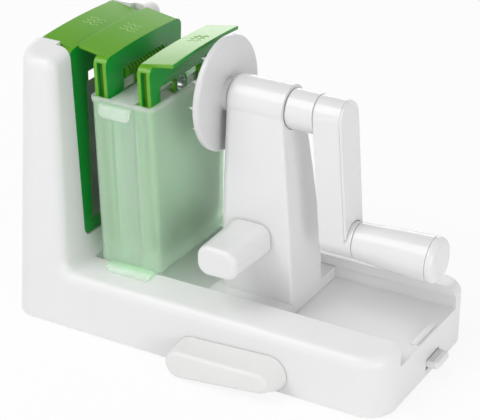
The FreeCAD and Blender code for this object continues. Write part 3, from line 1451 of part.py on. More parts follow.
def check(doc, parts):
    """Stop on any failed feature and on any empty or faulty sub-part."""
    doc.recompute()
    for item in doc.Objects:
        if "Invalid" in item.State or "Error" in item.State:
            raise RuntimeError(item.Name + " of " + item.Label + " failed")
    for part in parts:
        if part.Shape.isNull() or not part.Shape.isValid() or not part.Shape.Solids:
            raise RuntimeError(part.Label + " has no valid shape")


def write(parts):
    os.makedirs("parts", exist_ok=True)
    for part in parts:
        part.Shape.exportStep("parts/" + part.Label + ".step")


def main():
    doc = FreeCAD.newDocument("spiral_slicer")
    s = Sheet(doc)
    parts = [
        base_housing(doc, s), bottom_cover(doc, s), cover_screws(doc, s), rubber_feet(doc, s),
        suction_cup(doc, s), cup_stem(doc, s), lever_shaft(doc, s), shaft_ring(doc, s), suction_lever(doc, s),
        release_latch(doc, s), latch_spring(doc, s)]
    parts += cartridges(doc, s)
    parts += [
        storage_box(doc, s), carriage_housing(doc, s), carriage_bottom(doc, s), carriage_screws(doc, s),
        bush(doc, s, "rear_bush", s.pedestal_start), bush(doc, s, "front_bush", s.barrel_end - s.bush_length),
        push_grip(doc, s), grip_screw(doc, s), spiked_disc(doc, s), drive_spindle(doc, s), disc_screw(doc, s),
        crank_hub(doc, s), crank_arm(doc, s), crank_arm_cover(doc, s), crank_screw(doc, s),
        handle_axle(doc, s), axle_ring(doc, s), crank_handle(doc, s), handle_cap(doc, s)]
    check(doc, parts)
    write(parts)


main()
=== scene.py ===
"""Finishes, storage box, flange marks and stage for a hand cranked spiral slicer."""
import math

import bpy
from bpy.props import FloatProperty, FloatVectorProperty, PointerProperty
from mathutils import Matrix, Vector


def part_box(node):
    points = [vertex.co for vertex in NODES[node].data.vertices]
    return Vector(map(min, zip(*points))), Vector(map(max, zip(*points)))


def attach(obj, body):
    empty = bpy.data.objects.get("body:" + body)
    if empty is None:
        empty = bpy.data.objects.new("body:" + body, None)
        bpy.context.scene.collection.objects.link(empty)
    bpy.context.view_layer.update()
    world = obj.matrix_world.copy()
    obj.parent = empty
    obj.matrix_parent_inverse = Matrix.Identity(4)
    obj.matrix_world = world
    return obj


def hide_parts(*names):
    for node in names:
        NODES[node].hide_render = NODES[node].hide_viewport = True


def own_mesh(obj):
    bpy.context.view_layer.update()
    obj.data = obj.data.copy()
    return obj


bl_info = {
    "name": "Spiral slicer looks",
    "version": (1, 0, 0),
    "blender": (4, 5, 0),
    "location": "3D View > Sidebar > Slicer",
    "description": "Moulded plastic, steel and rubber finishes for a hand cranked spiral slicer",
    "category": "Object",
}

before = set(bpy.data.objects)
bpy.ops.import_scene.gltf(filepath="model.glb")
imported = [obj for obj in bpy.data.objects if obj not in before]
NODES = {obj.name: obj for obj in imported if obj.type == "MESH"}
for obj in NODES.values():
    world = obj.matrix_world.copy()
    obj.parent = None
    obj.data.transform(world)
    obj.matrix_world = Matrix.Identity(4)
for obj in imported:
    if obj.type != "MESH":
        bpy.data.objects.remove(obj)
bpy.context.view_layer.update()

# Axes by number, and how near two places are when they count as one.
X, Y, Z = 0, 1, 2
SAME_PLACE = 0.0001
DOUBLES = 0.000001

# Cartridge, place of its mark along the flange, and the side on which the flange is low.
CARTRIDGES = (("ribbon", 0.001, -1), ("fine", 0.003, -1), ("coarse", 0.009, 1))
WAVES_IN_A_MARK = 3

# Name, place, size, and the stage setting that holds the power.
LAMPS = (
    ("key_lamp", (-0.75, -0.9, 1.5), (1.1, 1.1), "key_power"),
    ("side_lamp", (1.2, -0.8, 0.4), (0.7, 0.7), "side_power"),
    ("back_lamp", (-1.05, 1.75, 0.5), (1.6, 0.5), "back_power"),
)

# The camera's shift is in pixels of an image this wide.
IMAGE_WIDTH = 480
SHIFT_RIGHT, SHIFT_UP = -0.5, 15.36


# ---------------------------------------------------------------- settings

def colour_setting(name, description, default):
    return FloatVectorProperty(
        name=name, description=description, default=default, subtype="COLOR", size=3,
        min=0.0, max=1.0)


def length_setting(name, description, default, **limits):
    return FloatProperty(
        name=name, description=description, default=default, unit="LENGTH", **limits)


def power_setting(name, description, default):
    return FloatProperty(
        name=name, description=description, default=default, min=0.0, unit="POWER")


def angle_setting(name, description, degrees):
    return FloatProperty(
        name=name, description=description, default=math.radians(degrees), subtype="ANGLE")


class SlicerColours(bpy.types.PropertyGroup):
    """Colours of the pieces."""

    housing: colour_setting(
        "Housing", "Base, tower, bottom cover and release latch", (0.80, 0.80, 0.80))
    lever: colour_setting("Lever", "Suction lever", (0.78, 0.775, 0.77))
    mechanism: colour_setting("Mechanism", "Carriage, crank and handle", (0.77, 0.77, 0.772))
    # Painted shade: the disc's colour is set darker than the mechanism's, standing in for the
    # shade on its back.
    shaded_disc: colour_setting("Disc", "Spiked disc", (0.69, 0.69, 0.693))
    bearing: colour_setting("Bearings", "Bushes and the suction cup's stem", (0.62, 0.62, 0.6))
    # Painted light: the cartridge colour is the green painted glowing, for edges and flanges, and
    # the broad-face colour is the same green painted in deep shade.
    cartridge: colour_setting(
        "Cartridge", "Edges and flanges of the blade cartridges", (0.12, 0.37, 0.012))
    cartridge_painted_shade: colour_setting(
        "Cartridge, broad faces", "Broad faces of the cartridges", (0.004, 0.31, 0.035))
    # Painted glow: the raised marks are painted paler than the flange they are moulded from, like
    # its glowing edges.
    mark: colour_setting("Marks", "Raised marks on the flanges", (0.28, 0.52, 0.13))
    container: colour_setting("Container", "Storage box", (0.75, 0.99, 0.765))
    # Painted light: the rim band, tab and feet are painted pale, as if lit through.
    container_painted_glow: colour_setting(
        "Container, painted glow", "Rim and tab of the storage box", (0.93, 0.96, 0.93))
    blade: colour_setting("Blades", "Cutting blades", (0.52, 0.52, 0.51))
    core_ring: colour_setting(
        "Core rings", "Sharp rings that bore the middle out", (0.5, 0.5, 0.51))
    steel: colour_setting("Steel", "Screws, shafts and the latch's spring", (0.56, 0.56, 0.57))
    rubber: colour_setting("Rubber", "Feet and suction cup", (0.035, 0.035, 0.036))
    floor: colour_setting("Floor", "Floor under the slicer", (0.9, 0.9, 0.9))


class SlicerSurfaces(bpy.types.PropertyGroup):
    """Surface detail shared by the finishes."""

    edge_round: length_setting(
        "Edge rounding", "Radius that catches the light on sharp edges", 0.0005, min=0.0)
    grain: length_setting(
        "Mould grain", "Height of the fine grain of moulded plastic", 0.00001, min=0.0)
    roughness: FloatProperty(
        name="Roughness", description="Roughness of the glossy plastic", default=0.28,
        min=0.0, max=1.0, subtype="FACTOR")


class SlicerMarks(bpy.types.PropertyGroup):
    """Raised wavy marks on the cartridge flanges."""

    bend: length_setting("Bend", "Radius of a wave's half turns", 0.0014, min=0.0005)
    width: length_setting("Line width", "Width of a raised line", 0.0011, min=0.0002)
    height: length_setting("Line height", "Thickness of a raised line", 0.0005, min=0.0001)
    sink: length_setting("Sink", "How far a line's middle lies under the flange", 0.00005)
    spacing: length_setting("Spacing", "Between the waves of a mark", 0.0048, min=0.001)
    rise: length_setting("Flange rise", "How much higher the flange's free edge is", 0.0042)
    crown: length_setting(
        "Flange crown", "How much the flange falls towards its ends", 0.0015)


class SlicerContainer(bpy.types.PropertyGroup):
    """Sizes of the storage box."""

    wall: length_setting("Wall", "Thickness of the walls", 0.0018, min=0.0008)
    stand: length_setting("Stand", "From the feet's soles up to the box's underside", 0.0033)
    lean: length_setting(
        "Lean", "How much further out the front and rear walls stand at the rim", 0.005, min=0.0)
    reach: length_setting(
        "Half depth", "From the middle to the front wall, at the rim", 0.051, min=0.03)
    corner: length_setting("Corner", "Radius of the upright corners", 0.004, min=0.001)
    edge: length_setting("Edge", "Rounding of the walls' and the tab's edges", 0.0004, min=0.0001)
    lip: length_setting("Lip", "How far the rim stands out", 0.001, min=0.0002)
    lip_height: length_setting("Lip height", "Height of the rim's band", 0.0035, min=0.001)
    clearance: length_setting("Clearance", "Gap round a stored cartridge", 0.0003, min=0.0)
    tab_offset: length_setting("Tab offset", "From the box's middle to the tab's", -0.0034)
    tab_width: length_setting("Tab width", "Width of the finger tab", 0.0252, min=0.01)
    tab_reach: length_setting(
        "Tab reach", "How far the tab stands in front of the rim", 0.0032, min=0.001)
    tab_drop: length_setting(
        "Tab drop", "From the rim down to the tab's end", 0.0123, min=0.004)
    tab_flare: length_setting("Tab flare", "How much further out the tab's end stands", 0.0006)
    tab_overlap: length_setting("Tab overlap", "How far the tab goes up into the lip", 0.0004)
    tab_corner: length_setting("Tab corner", "Radius of the tab's two lower corners", 0.004)
    tab_curl: length_setting("Tab curl", "Radius at which the tab turns down", 0.0014)
    foot_offset: length_setting("Foot offset", "From the box's middle to the feet's", 0.00275)
    foot_length: length_setting(
        "Foot length", "Length of the two feet along the rails", 0.037, min=0.01)
    foot_root: length_setting("Foot root", "How far a foot runs in under the wall", 0.004)
    foot_overlap: length_setting("Foot overlap", "How far a foot goes up into the box", 0.0015)
    foot_corner: length_setting("Foot corner", "Radius of a foot's outer corners", 0.003)
    foot_edge: length_setting("Foot edge", "Rounding of a foot's edges", 0.0006)
    sole_rise: length_setting("Sole rise", "How much higher a sole's inner edge is", 0.0021)


class SlicerStage(bpy.types.PropertyGroup):
    """Camera, lamps and floor."""

    azimuth: angle_setting("Azimuth", "Direction the camera looks from, round Z", 30.05)
    elevation: angle_setting("Elevation", "Height of the camera above the horizon", 27.04)
    distance: length_setting("Distance", "From the camera to the aim point", 1.2354, min=0.1)
    aim_along: length_setting("Aim along the base", "X of the aim point", -0.0635)
    aim_height: length_setting("Aim height", "Height of the aim point over the table", 0.08)
    focal_length: FloatProperty(
        name="Focal length", description="Focal length in millimetres", default=129.5, min=10.0)
    key_power: power_setting("Key lamp", "Power of the large soft lamp", 13.5)
    side_power: power_setting("Side lamp", "Power of the soft lamp on the crank side", 6.0)
    back_power: power_setting(
        "Back lamp", "Power of the long low lamp behind, which shines along the tops", 5.0)
    sky: FloatProperty(
        name="Sky", description="Strength of the even light from all round", default=0.62,
        min=0.0)
    ceiling: FloatProperty(
        name="Ceiling", description="Brightness of the surroundings overhead, in gloss",
        default=0.08, min=0.0, max=1.0)
    white_up_to: angle_setting(
        "White up to", "Height above the horizon where the white in gloss ends", 24.0)
    ceiling_from: angle_setting(
        "Ceiling from", "Height above the horizon where the ceiling begins", 40.0)


# ---------------------------------------------------------------- shader nodes

def new_material(name):
    """A material, its node tree and its Principled shader."""
    material = bpy.data.materials.new(name)
    material.use_nodes = True
    tree = material.node_tree
    return material, tree, tree.nodes["Principled BSDF"]


def settle(made, **values):
    """Set a node's sockets by name."""
    for name, value in values.items():
        made.inputs[name.replace("_", " ")].default_value = value


def add(tree, kind, **values):
    """A node with some of its properties or sockets set by name."""
    made = tree.nodes.new("ShaderNode" + kind)
    for name, value in values.items():
        if hasattr(made, name):
            setattr(made, name, value)
        else:
            settle(made, **{name: value})
    return made


def object_place(tree):
    """Where a point of the piece is, in the slicer's own coordinates."""
    return add(tree, "TexCoord").outputs["Object"]


def object_noise(tree, scale, detail, stretch=(1.0, 1.0, 1.0)):
    """Noise from 0 to 1 that stays put on the piece."""
    shape = add(tree, "Mapping", Scale=stretch)
    noise = add(tree, "TexNoise", Scale=scale, Detail=detail)
    tree.links.new(object_place(tree), shape.inputs["Vector"])
    tree.links.new(shape.outputs["Vector"], noise.inputs["Vector"])
    return noise.outputs["Fac"]


def ramp(tree, value, start=0.0, end=1.0, low=0.0, high=1.0, kind="LINEAR"):
    """A value between start and end, taken to between low and high."""
    made = add(tree, "MapRange", interpolation_type=kind,
               From_Min=start, From_Max=end, To_Min=low, To_Max=high)
    tree.links.new(value, made.inputs["Value"])
    return made.outputs["Result"]


def maths(tree, operation, *values):
    """One arithmetic step on one or two values."""
    made = add(tree, "Math", operation=operation)
    for value, socket in zip(values, made.inputs):
        tree.links.new(value, socket)
    return made.outputs["Value"]


def between(tree, share, first, second):
    """A colour that goes from the first to the second as the share goes from 0 to 1."""
    mix = add(tree, "Mix", data_type="RGBA")
    tree.links.new(share, mix.inputs["Factor"])
    sockets = [socket for socket in mix.inputs if socket.type == "RGBA"]
    for colour, socket in zip((first, second), sockets):
        if isinstance(colour, bpy.types.NodeSocket):
            tree.links.new(colour, socket)
        else:
            socket.default_value = (*colour, 1.0)
    return next(socket for socket in mix.outputs if socket.type == "RGBA")


def tint(tree, value, colour, darker):
    """The colour, mottled down to a darker share of itself."""
    return between(tree, value, colour, [part * darker for part in colour])


def grained_normal(tree, relief, height, edge_round=0.0):
    """Fine relief over edges that are slightly rounded."""
    bump = add(tree, "Bump", Strength=1.0, Distance=height)
    tree.links.new(relief, bump.inputs["Height"])
    if edge_round:
        edge = add(tree, "Bevel", samples=4, Radius=edge_round)
        tree.links.new(edge.outputs["Normal"], bump.inputs["Normal"])
    return bump.outputs["Normal"]


def dress(tree, shader, colour, roughness, normal):
    """Link a finish's colour, roughness and surface to its shader."""
    for value, name in ((colour, "Base Color"), (roughness, "Roughness"), (normal, "Normal")):
        tree.links.new(value, shader.inputs[name])


def share_out(tree, share, shader, other):
    """Send a mix of two shaders to the material's output."""
    mix = add(tree, "MixShader")
    tree.links.new(share, mix.inputs["Fac"])
    tree.links.new(shader.outputs[0], mix.inputs[1])
    tree.links.new(other.outputs[0], mix.inputs[2])
    tree.links.new(mix.outputs["Shader"], tree.nodes["Material Output"].inputs["Surface"])


# ---------------------------------------------------------------- materials

def moulded_plastic(name, colour, surfaces, duller):
    """Opaque plastic out of a polished mould: faint mottling, flow marks and grain."""
    material, tree, shader = new_material(name)
    roughness = surfaces.roughness + duller
    flow = object_noise(tree, scale=14.0, detail=3.0, stretch=(1.0, 1.0, 0.6))
    grain = object_noise(tree, scale=900.0, detail=2.0)
    dress(tree, shader,
          tint(tree, flow, colour, darker=0.965),
          ramp(tree, flow, low=roughness - 0.04, high=roughness + 0.05),
          grained_normal(tree, grain, height=surfaces.grain, edge_round=surfaces.edge_round))
    settle(shader, IOR=1.5, Subsurface_Weight=0.08, Subsurface_Radius=(0.003, 0.003, 0.003))
    return material


def facing_shaded_plastic(name, glowing_edge_colour, shaded_face_colour, surfaces, duller):
    """Plastic that light soaks into, with that light painted in: edges and flanges painted pale as
    a glow, broad faces painted in deep shade.
    """
    material = moulded_plastic(name, glowing_edge_colour, surfaces, duller)
    tree = material.node_tree
    base = tree.nodes["Principled BSDF"].inputs["Base Color"]
    painted_glow = base.links[0].from_socket
    clouds = object_noise(tree, scale=14.0, detail=3.0)
    facing = add(tree, "SeparateXYZ")
    edge = add(tree, "Bevel", samples=6, Radius=0.0016)
    tree.links.new(edge.outputs["Normal"], facing.inputs["Vector"])
    # Painted shade on faces square to X, painted glow on the rest.
    broad = maths(tree, "ABSOLUTE", facing.outputs["X"])
    depth = ramp(tree, broad, start=0.70, end=0.99, kind="SMOOTHSTEP")
    painted_shade = tint(tree, clouds, shaded_face_colour, darker=0.9)
    tree.links.new(between(tree, depth, painted_glow, painted_shade), base)
    return material


def painted_glow_at_rim_and_front(tree, colour, painted_glow, rim, front, fade=0.0012):
    """Painted light: the colour goes over to a painted glow above the rim's height and beyond the
    front, on the rim band, tab and feet.
    """
    place = add(tree, "SeparateXYZ")
    tree.links.new(object_place(tree), place.inputs["Vector"])
    outward = maths(tree, "ABSOLUTE", place.outputs["Y"])
    bands = [ramp(tree, measure, start=start, end=start + fade)
             for measure, start in ((place.outputs["Z"], rim), (outward, front))]
    return between(tree, maths(tree, "MAXIMUM", *bands), colour, painted_glow)


def lets_light_through(tree, shader, colour, seen=0.5, lit=0.94, depth=0.25):
    """A share of what is behind shows through, faintly tinted, and most of the lamps' light."""
    clear = add(tree, "BsdfTransparent", Color=(*[part ** depth for part in colour], 1.0))
    shadow = add(tree, "LightPath").outputs["Is Shadow Ray"]
    share_out(tree, ramp(tree, shadow, low=seen, high=lit), shader, clear)


def clear_plastic(name, colour, painted_glow, surfaces, rim, front):
    """Milky see-through plastic with a softly grained surface."""
    material, tree, shader = new_material(name)
    flow = object_noise(tree, scale=18.0, detail=2.0, stretch=(1.0, 1.0, 0.3))
    grain = object_noise(tree, scale=700.0, detail=2.0)
    dress(tree, shader,
          # The rim band, tab and feet get a painted glow.
          painted_glow_at_rim_and_front(tree, tint(tree, flow, colour, darker=0.97), painted_glow, rim, front),
          ramp(tree, flow, low=0.2, high=0.28),
          grained_normal(tree, grain, height=surfaces.grain * 1.5, edge_round=surfaces.edge_round))
    settle(shader, IOR=1.2, Transmission_Weight=0.3, Subsurface_Weight=0.9,
           Subsurface_Radius=(0.005, 0.006, 0.005), Subsurface_Scale=1.0)
    lets_light_through(tree, shader, colour)
    return material


def ground_steel(name, colour, surfaces, roughness, stretch=(1.0, 1.0, 1.0)):
    """Steel with fine grinding lines, drawn out where the stretch is small."""
    material, tree, shader = new_material(name)
    lines = object_noise(tree, scale=500.0, detail=3.0, stretch=stretch)
    clouds = object_noise(tree, scale=30.0, detail=2.0)
    dress(tree, shader,
          tint(tree, clouds, colour, darker=0.85),
          ramp(tree, lines, low=roughness - 0.08, high=roughness + 0.1),
          grained_normal(tree, lines, height=surfaces.grain))
    settle(shader, Metallic=1.0)
    return material


def soft_rubber(name, colour, surfaces):
    """Dark matt rubber with a coarser grain."""
    material, tree, shader = new_material(name)
    grain = object_noise(tree, scale=1400.0, detail=3.0)
    dress(tree, shader,
          tint(tree, grain, colour, darker=0.6),
          ramp(tree, grain, low=0.62, high=0.8),
          grained_normal(tree, grain, height=surfaces.grain * 3, edge_round=surfaces.edge_round))
    return material


def coat(shape, material):
    """Give a shape one material."""
    shape.data.materials.clear()
    shape.data.materials.append(material)


def finish(material, *names):
    """Give CAD nodes a material."""
    for name in names:
        coat(NODES[name], material)


# ---------------------------------------------------------------- modelling

def only(*shapes):
    """Select these shapes and nothing else, the first one active."""
    bpy.ops.object.select_all(action="DESELECT")
    for shape in shapes:
        shape.select_set(True)
    bpy.context.view_layer.objects.active = shapes[0]


def apply_place():
    """Put the place, turn and size of what is selected into its mesh."""
    bpy.ops.object.transform_apply(location=True, rotation=True, scale=True)


def copied(shape, name):
    """A new shape with a copy of this one's mesh."""
    twin = bpy.data.objects.new(name, shape.data.copy())
    bpy.context.collection.objects.link(twin)
    return twin


def start_block(name, low, high):
    """A block between two corners, alone in the selection."""
    bpy.ops.object.select_all(action="DESELECT")
    middle = (Vector(low) + Vector(high)) / 2
    bpy.ops.mesh.primitive_cube_add(size=1.0, location=middle)
    shape = bpy.context.object
    shape.name = name
    shape.scale = Vector(high) - Vector(low)
    apply_place()
    return shape


def edit_all(shape):
    """Go into edit mode with the whole shape selected."""
    only(shape)
    bpy.ops.object.mode_set(mode="EDIT")
    bpy.ops.mesh.select_mode(type="FACE")
    bpy.ops.mesh.select_all(action="SELECT")


def stop_editing():
    bpy.ops.object.mode_set(mode="OBJECT")


def choose(shape, mode, test):
    """Go into edit mode with the faces or edges that pass the test."""
    bpy.ops.object.mode_set(mode="EDIT")
    bpy.ops.mesh.select_mode(type=mode)
    bpy.ops.mesh.select_all(action="DESELECT")
    stop_editing()
    for item in shape.data.polygons if mode == "FACE" else shape.data.edges:
        item.select = test(item)
    bpy.ops.object.mode_set(mode="EDIT")


def ends(shape, edge):
    return [shape.data.vertices[index].co for index in edge.vertices]


def upright(shape, edge, shortest=0.001):
    """True for an edge that stands up and isn't tiny."""
    first, second = ends(shape, edge)
    rise = abs(first.z - second.z)
    return rise > shortest and rise > 2 * (first.xy - second.xy).length


def faces_up(face):
    return face.normal.z > 0.5


def faces_down(face):
    return face.normal.z < -0.5


def inside(face, across, along):
    """True for a face whose middle lies between two places in X and nearer than along in Y."""
    return across[0] < face.center.x < across[1] and abs(face.center.y) < along


def slice_at(shape, axis, *places):
    """Cut the surface along planes square to an axis."""
    for place in places:
        edit_all(shape)
        point, across = [0.0, 0.0, 0.0], [0.0, 0.0, 0.0]
        point[axis], across[axis] = place, 1.0
        bpy.ops.mesh.bisect(plane_co=point, plane_no=across)
        stop_editing()


def push(vector, widen=1.0):
    """Extrude what is selected, and stretch its end in Y about the middle."""
    bpy.ops.mesh.extrude_region_move(TRANSFORM_OT_translate={"value": vector})
    bpy.ops.transform.resize(value=(1.0, widen, 1.0), center_override=(0.0, 0.0, 0.0))
    stop_editing()


def round_edges(shape, test, radius, segments=5):
    """Round the edges that pass the test."""
    choose(shape, "EDGE", test)
    bpy.ops.mesh.bevel(offset=radius, segments=segments, affect="EDGES")
    stop_editing()


def soften(shape, width, sharp=40, smooth=35):
    """Round the edges sharper than one angle, and shade smooth below the other."""
    only(shape)
    bevel = shape.modifiers.new("rounding", "BEVEL")
    bevel.width = width
    bevel.segments = 2
    bevel.limit_method = "ANGLE"
    bevel.angle_limit = math.radians(sharp)
    bpy.ops.object.modifier_apply(modifier=bevel.name)
    bpy.ops.object.shade_smooth_by_angle(angle=math.radians(smooth))


def mirror_pair(shape):
    """Add the same shape on the other side of the slicer's middle."""
    only(shape)
    mirror = shape.modifiers.new("pair", "MIRROR")
    mirror.use_axis = (False, True, False)
    mirror.use_mirror_merge = False
    bpy.ops.object.modifier_apply(modifier=mirror.name)
    edit_all(shape)
    bpy.ops.mesh.normals_make_consistent(inside=False)
    stop_editing()


def join(name, *shapes):
    only(*shapes)
    bpy.ops.object.join()
    shapes[0].name = name
    return shapes[0]


# ---------------------------------------------------------------- base and lever

def pressed_spring(material):
    """The latch's coil: a copy of the part with doubled points merged, put in the part's place."""
    coil = copied(NODES["latch_spring"], "spring_coil")
    edit_all(coil)
    bpy.ops.mesh.remove_doubles(threshold=DOUBLES)
    stop_editing()
    coat(coil, material)
    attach(coil, "base")
    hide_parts("latch_spring")
    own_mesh(coil)


class SLICER_OT_housing(bpy.types.Operator):
    """Finish the base, its cover, feet, latch and screws, and put a copy of the latch's spring in
    its place
    """

    bl_idname = "slicer.housing"
    bl_label = "Base housing"

    def execute(self, context):
        colours, surfaces = context.scene.slicer_colours, context.scene.slicer_surfaces
        plastic = moulded_plastic("Housing plastic", colours.housing, surfaces, duller=0.06)
        finish(plastic, "base_housing", "bottom_cover", "release_latch")
        finish(soft_rubber("Rubber", colours.rubber, surfaces), "rubber_feet", "suction_cup")
        steel = ground_steel("Bright steel", colours.steel, surfaces, roughness=0.3)
        finish(steel, "cover_screws", "lever_shaft", "shaft_ring", "carriage_screws",
               "grip_screw", "drive_spindle", "disc_screw", "crank_screw", "handle_axle",
               "axle_ring")
        pressed_spring(steel)
        return {"FINISHED"}


class SLICER_OT_lever(bpy.types.Operator):
    """Finish the suction lever, the cup's stem and the bushes"""

    bl_idname = "slicer.lever"
    bl_label = "Suction lever"

    def execute(self, context):
        colours, surfaces = context.scene.slicer_colours, context.scene.slicer_surfaces
        plastic = moulded_plastic("Lever plastic", colours.lever, surfaces, duller=0.1)
        finish(plastic, "suction_lever")
        bearing = moulded_plastic("Bearing plastic", colours.bearing, surfaces, duller=0.17)
        finish(bearing, "cup_stem", "front_bush", "rear_bush")
        return {"FINISHED"}


# ---------------------------------------------------------------- cartridges

class SLICER_OT_cartridges(bpy.types.Operator):
    """Finish the three blade cartridges"""

    bl_idname = "slicer.cartridges"
    bl_label = "Blade cartridges"

    def execute(self, context):
        colours, surfaces = context.scene.slicer_colours, context.scene.slicer_surfaces
        # The cartridge green is painted: glowing at edges and flanges, in shade on the broad
        # faces.
        green = facing_shaded_plastic("Cartridge plastic", colours.cartridge, colours.cartridge_painted_shade,
                               surfaces, duller=-0.04)
        blade = ground_steel("Blade steel", colours.blade, surfaces, roughness=0.34,
                             stretch=(1.0, 0.06, 1.0))
        ring = ground_steel("Ring steel", colours.core_ring, surfaces, roughness=0.26,
                            stretch=(0.1, 1.0, 1.0))
        for kind, _, _ in CARTRIDGES:
            finish(green, kind + "_frame")
            finish(blade, kind + "_blade")
            finish(ring, kind + "_core_ring")
        finish(green, "fine_comb", "coarse_comb")
        return {"FINISHED"}


def raised_wave(sizes):
    """One wave about the middle: a small flat oval spun through four half turns."""
    bpy.ops.object.select_all(action="DESELECT")
    bpy.ops.mesh.primitive_circle_add(
        vertices=8, radius=0.5, fill_type="NGON", location=(-4 * sizes.bend, 0.0, 0.0),
        rotation=(math.pi / 2, 0.0, 0.0))
    shape = bpy.context.object
    shape.scale = (sizes.width, sizes.height, 1.0)
    apply_place()
    edit_all(shape)
    for bends, turn in ((-3, -math.pi), (-1, math.pi), (1, -math.pi), (3, math.pi)):
        bpy.ops.mesh.spin(
            steps=8, angle=turn, center=(bends * sizes.bend, 0.0, 0.0), axis=(0.0, 0.0, 1.0))
    bpy.ops.mesh.select_all(action="SELECT")
    bpy.ops.mesh.remove_doubles(threshold=DOUBLES)
    bpy.ops.mesh.normals_make_consistent(inside=False)
    stop_editing()
    return shape


def flange_mark(sizes, wave, plastic, kind, along, low_side):
    """Waves in a row on a cartridge's sloping flange, sunk a little into it."""
    low, high = (Vector(corner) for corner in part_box(kind + "_frame"))
    waves = [copied(wave, kind + "_wave") for _ in range(WAVES_IN_A_MARK)]
    for index, twin in enumerate(waves):
        twin.location.y = (index - (WAVES_IN_A_MARK - 1) / 2) * sizes.spacing
    only(*waves)
    apply_place()
    mark = join(kind + "_mark", *waves)
    middle = (low.x + high.x) / 2
    fall = sizes.crown * (along * 2 / (high.y - low.y)) ** 2
    mark.rotation_euler.y = -low_side * math.atan2(sizes.rise, high.x - low.x)
    mark.location = (middle, along, high.z - sizes.rise / 2 - fall - sizes.sink)
    apply_place()
    bpy.ops.object.shade_smooth_by_angle(angle=math.radians(60))
    coat(mark, plastic)
    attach(mark, kind + "_cartridge")


class SLICER_OT_marks(bpy.types.Operator):
    """Raise a wavy mark on each cartridge's flange"""

    bl_idname = "slicer.marks"
    bl_label = "Flange marks"

    def execute(self, context):
        colours, surfaces = context.scene.slicer_colours, context.scene.slicer_surfaces
        sizes = context.scene.slicer_marks
        # The marks carry a painted glow, paler than the flange's green.
        plastic = moulded_plastic("Mark plastic", colours.mark, surfaces, duller=-0.04)
        wave = raised_wave(sizes)
        for kind, along, low_side in CARTRIDGES:
            flange_mark(sizes, wave, plastic, kind, along, low_side)
        bpy.data.objects.remove(wave)
        return {"FINISHED"}


# ---------------------------------------------------------------- storage box

def container_block(sizes, left, right, bottom, rim):
    """The box as a solid block with round corners, its front and rear leaning out."""
    shape = start_block("shell", (left, -sizes.reach, bottom), (right, sizes.reach, rim))
    choose(shape, "FACE", faces_down)
    foot_share = (sizes.reach - sizes.lean) / sizes.reach
    bpy.ops.transform.resize(value=(1.0, foot_share, 1.0), center_override=(0.0, 0.0, bottom))
    round_edges(shape, lambda edge: upright(shape, edge), sizes.corner)
    return shape


def hollow_container(shape, sizes, left, right, bottom, rim):
    """Push in two wells from above and three hollows from below."""
    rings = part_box("fine_core_ring"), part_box("coarse_core_ring")
    gap, ring_gap, wall = sizes.clearance, 2 * sizes.clearance, sizes.wall
    wells = ((left + wall, rings[0][1].x + ring_gap), (rings[1][0].x - ring_gap, right - wall))
    middle = (wells[0][1] + wall, wells[1][0] - wall)
    slice_at(shape, X, *wells[0], *middle, *wells[1])
    inner_top, inner_foot = sizes.reach - wall, sizes.reach - sizes.lean - wall
    slice_at(shape, Y, -inner_top, inner_top, -inner_foot, inner_foot)

    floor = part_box("fine_frame")[0].z - gap
    floor_share = 1 - sizes.lean / inner_top * (rim - floor) / (rim - bottom)
    for well in wells:
        choose(shape, "FACE", lambda face: faces_up(face) and inside(face, well, inner_top))
        push((0.0, 0.0, floor - rim), floor_share)
    for hollow, top in ((wells[0], floor - wall), (middle, rim - wall), (wells[1], floor - wall)):
        top_share = 1 + sizes.lean / inner_foot * (top - bottom) / (rim - bottom)
        choose(shape, "FACE", lambda face: faces_down(face) and inside(face, hollow, inner_foot))
        push((0.0, 0.0, top - bottom), top_share)


def raise_lip(shape, sizes, left, right, rim, margin=0.001):
    """Push the outside of the band under the rim out into a lip."""
    band = rim - sizes.lip_height

    def on_the_outside(face):
        within = (left + margin < face.center.x < right - margin
                  and abs(face.center.y) < sizes.reach - margin)
        return face.center.z > band and abs(face.normal.z) < 0.5 and not within

    slice_at(shape, Z, band)
    choose(shape, "FACE", on_the_outside)
    bpy.ops.mesh.extrude_region_shrink_fatten(
        TRANSFORM_OT_shrink_fatten={"value": sizes.lip, "use_even_offset": True})
    stop_editing()


def container_shell(sizes, low, high):
    """Outer walls with the rim's lip, two wells from above and three hollows from below."""
    left, right = low.x + sizes.lip, high.x - sizes.lip
    bottom, rim = low.z + sizes.stand, high.z
    shape = container_block(sizes, left, right, bottom, rim)
    hollow_container(shape, sizes, left, right, bottom, rim)
    raise_lip(shape, sizes, left, right, rim)
    soften(shape, sizes.edge)
    return shape


def container_tab(sizes, low, high):
    """The curled finger tab under the front of the rim."""
    middle = (low.x + high.x) / 2 + sizes.tab_offset
    half = sizes.tab_width / 2
    top = high.z - sizes.lip_height + sizes.tab_overlap
    end = high.z - sizes.tab_drop
    front = -sizes.reach - sizes.lip - sizes.tab_reach
    shape = start_block(
        "tab", (middle - half, front, top - sizes.wall), (middle + half, -sizes.reach, top))

    def at_lower_corner(edge):
        first, second = ends(shape, edge)
        return max(first.z, second.z) < end + SAME_PLACE and abs(first.x - second.x) < SAME_PLACE

    def at_turn(edge):
        return all(point.z > top - SAME_PLACE and point.y < front + SAME_PLACE
                   for point in ends(shape, edge))

    slice_at(shape, Y, front + sizes.wall)
    choose(shape, "FACE", lambda face: faces_down(face) and face.center.y < front + sizes.wall)
    push((0.0, -sizes.tab_flare, end - top + sizes.wall))
    round_edges(shape, at_lower_corner, sizes.tab_corner)
    round_edges(shape, at_turn, sizes.tab_curl, segments=4)
    soften(shape, sizes.edge)
    return shape


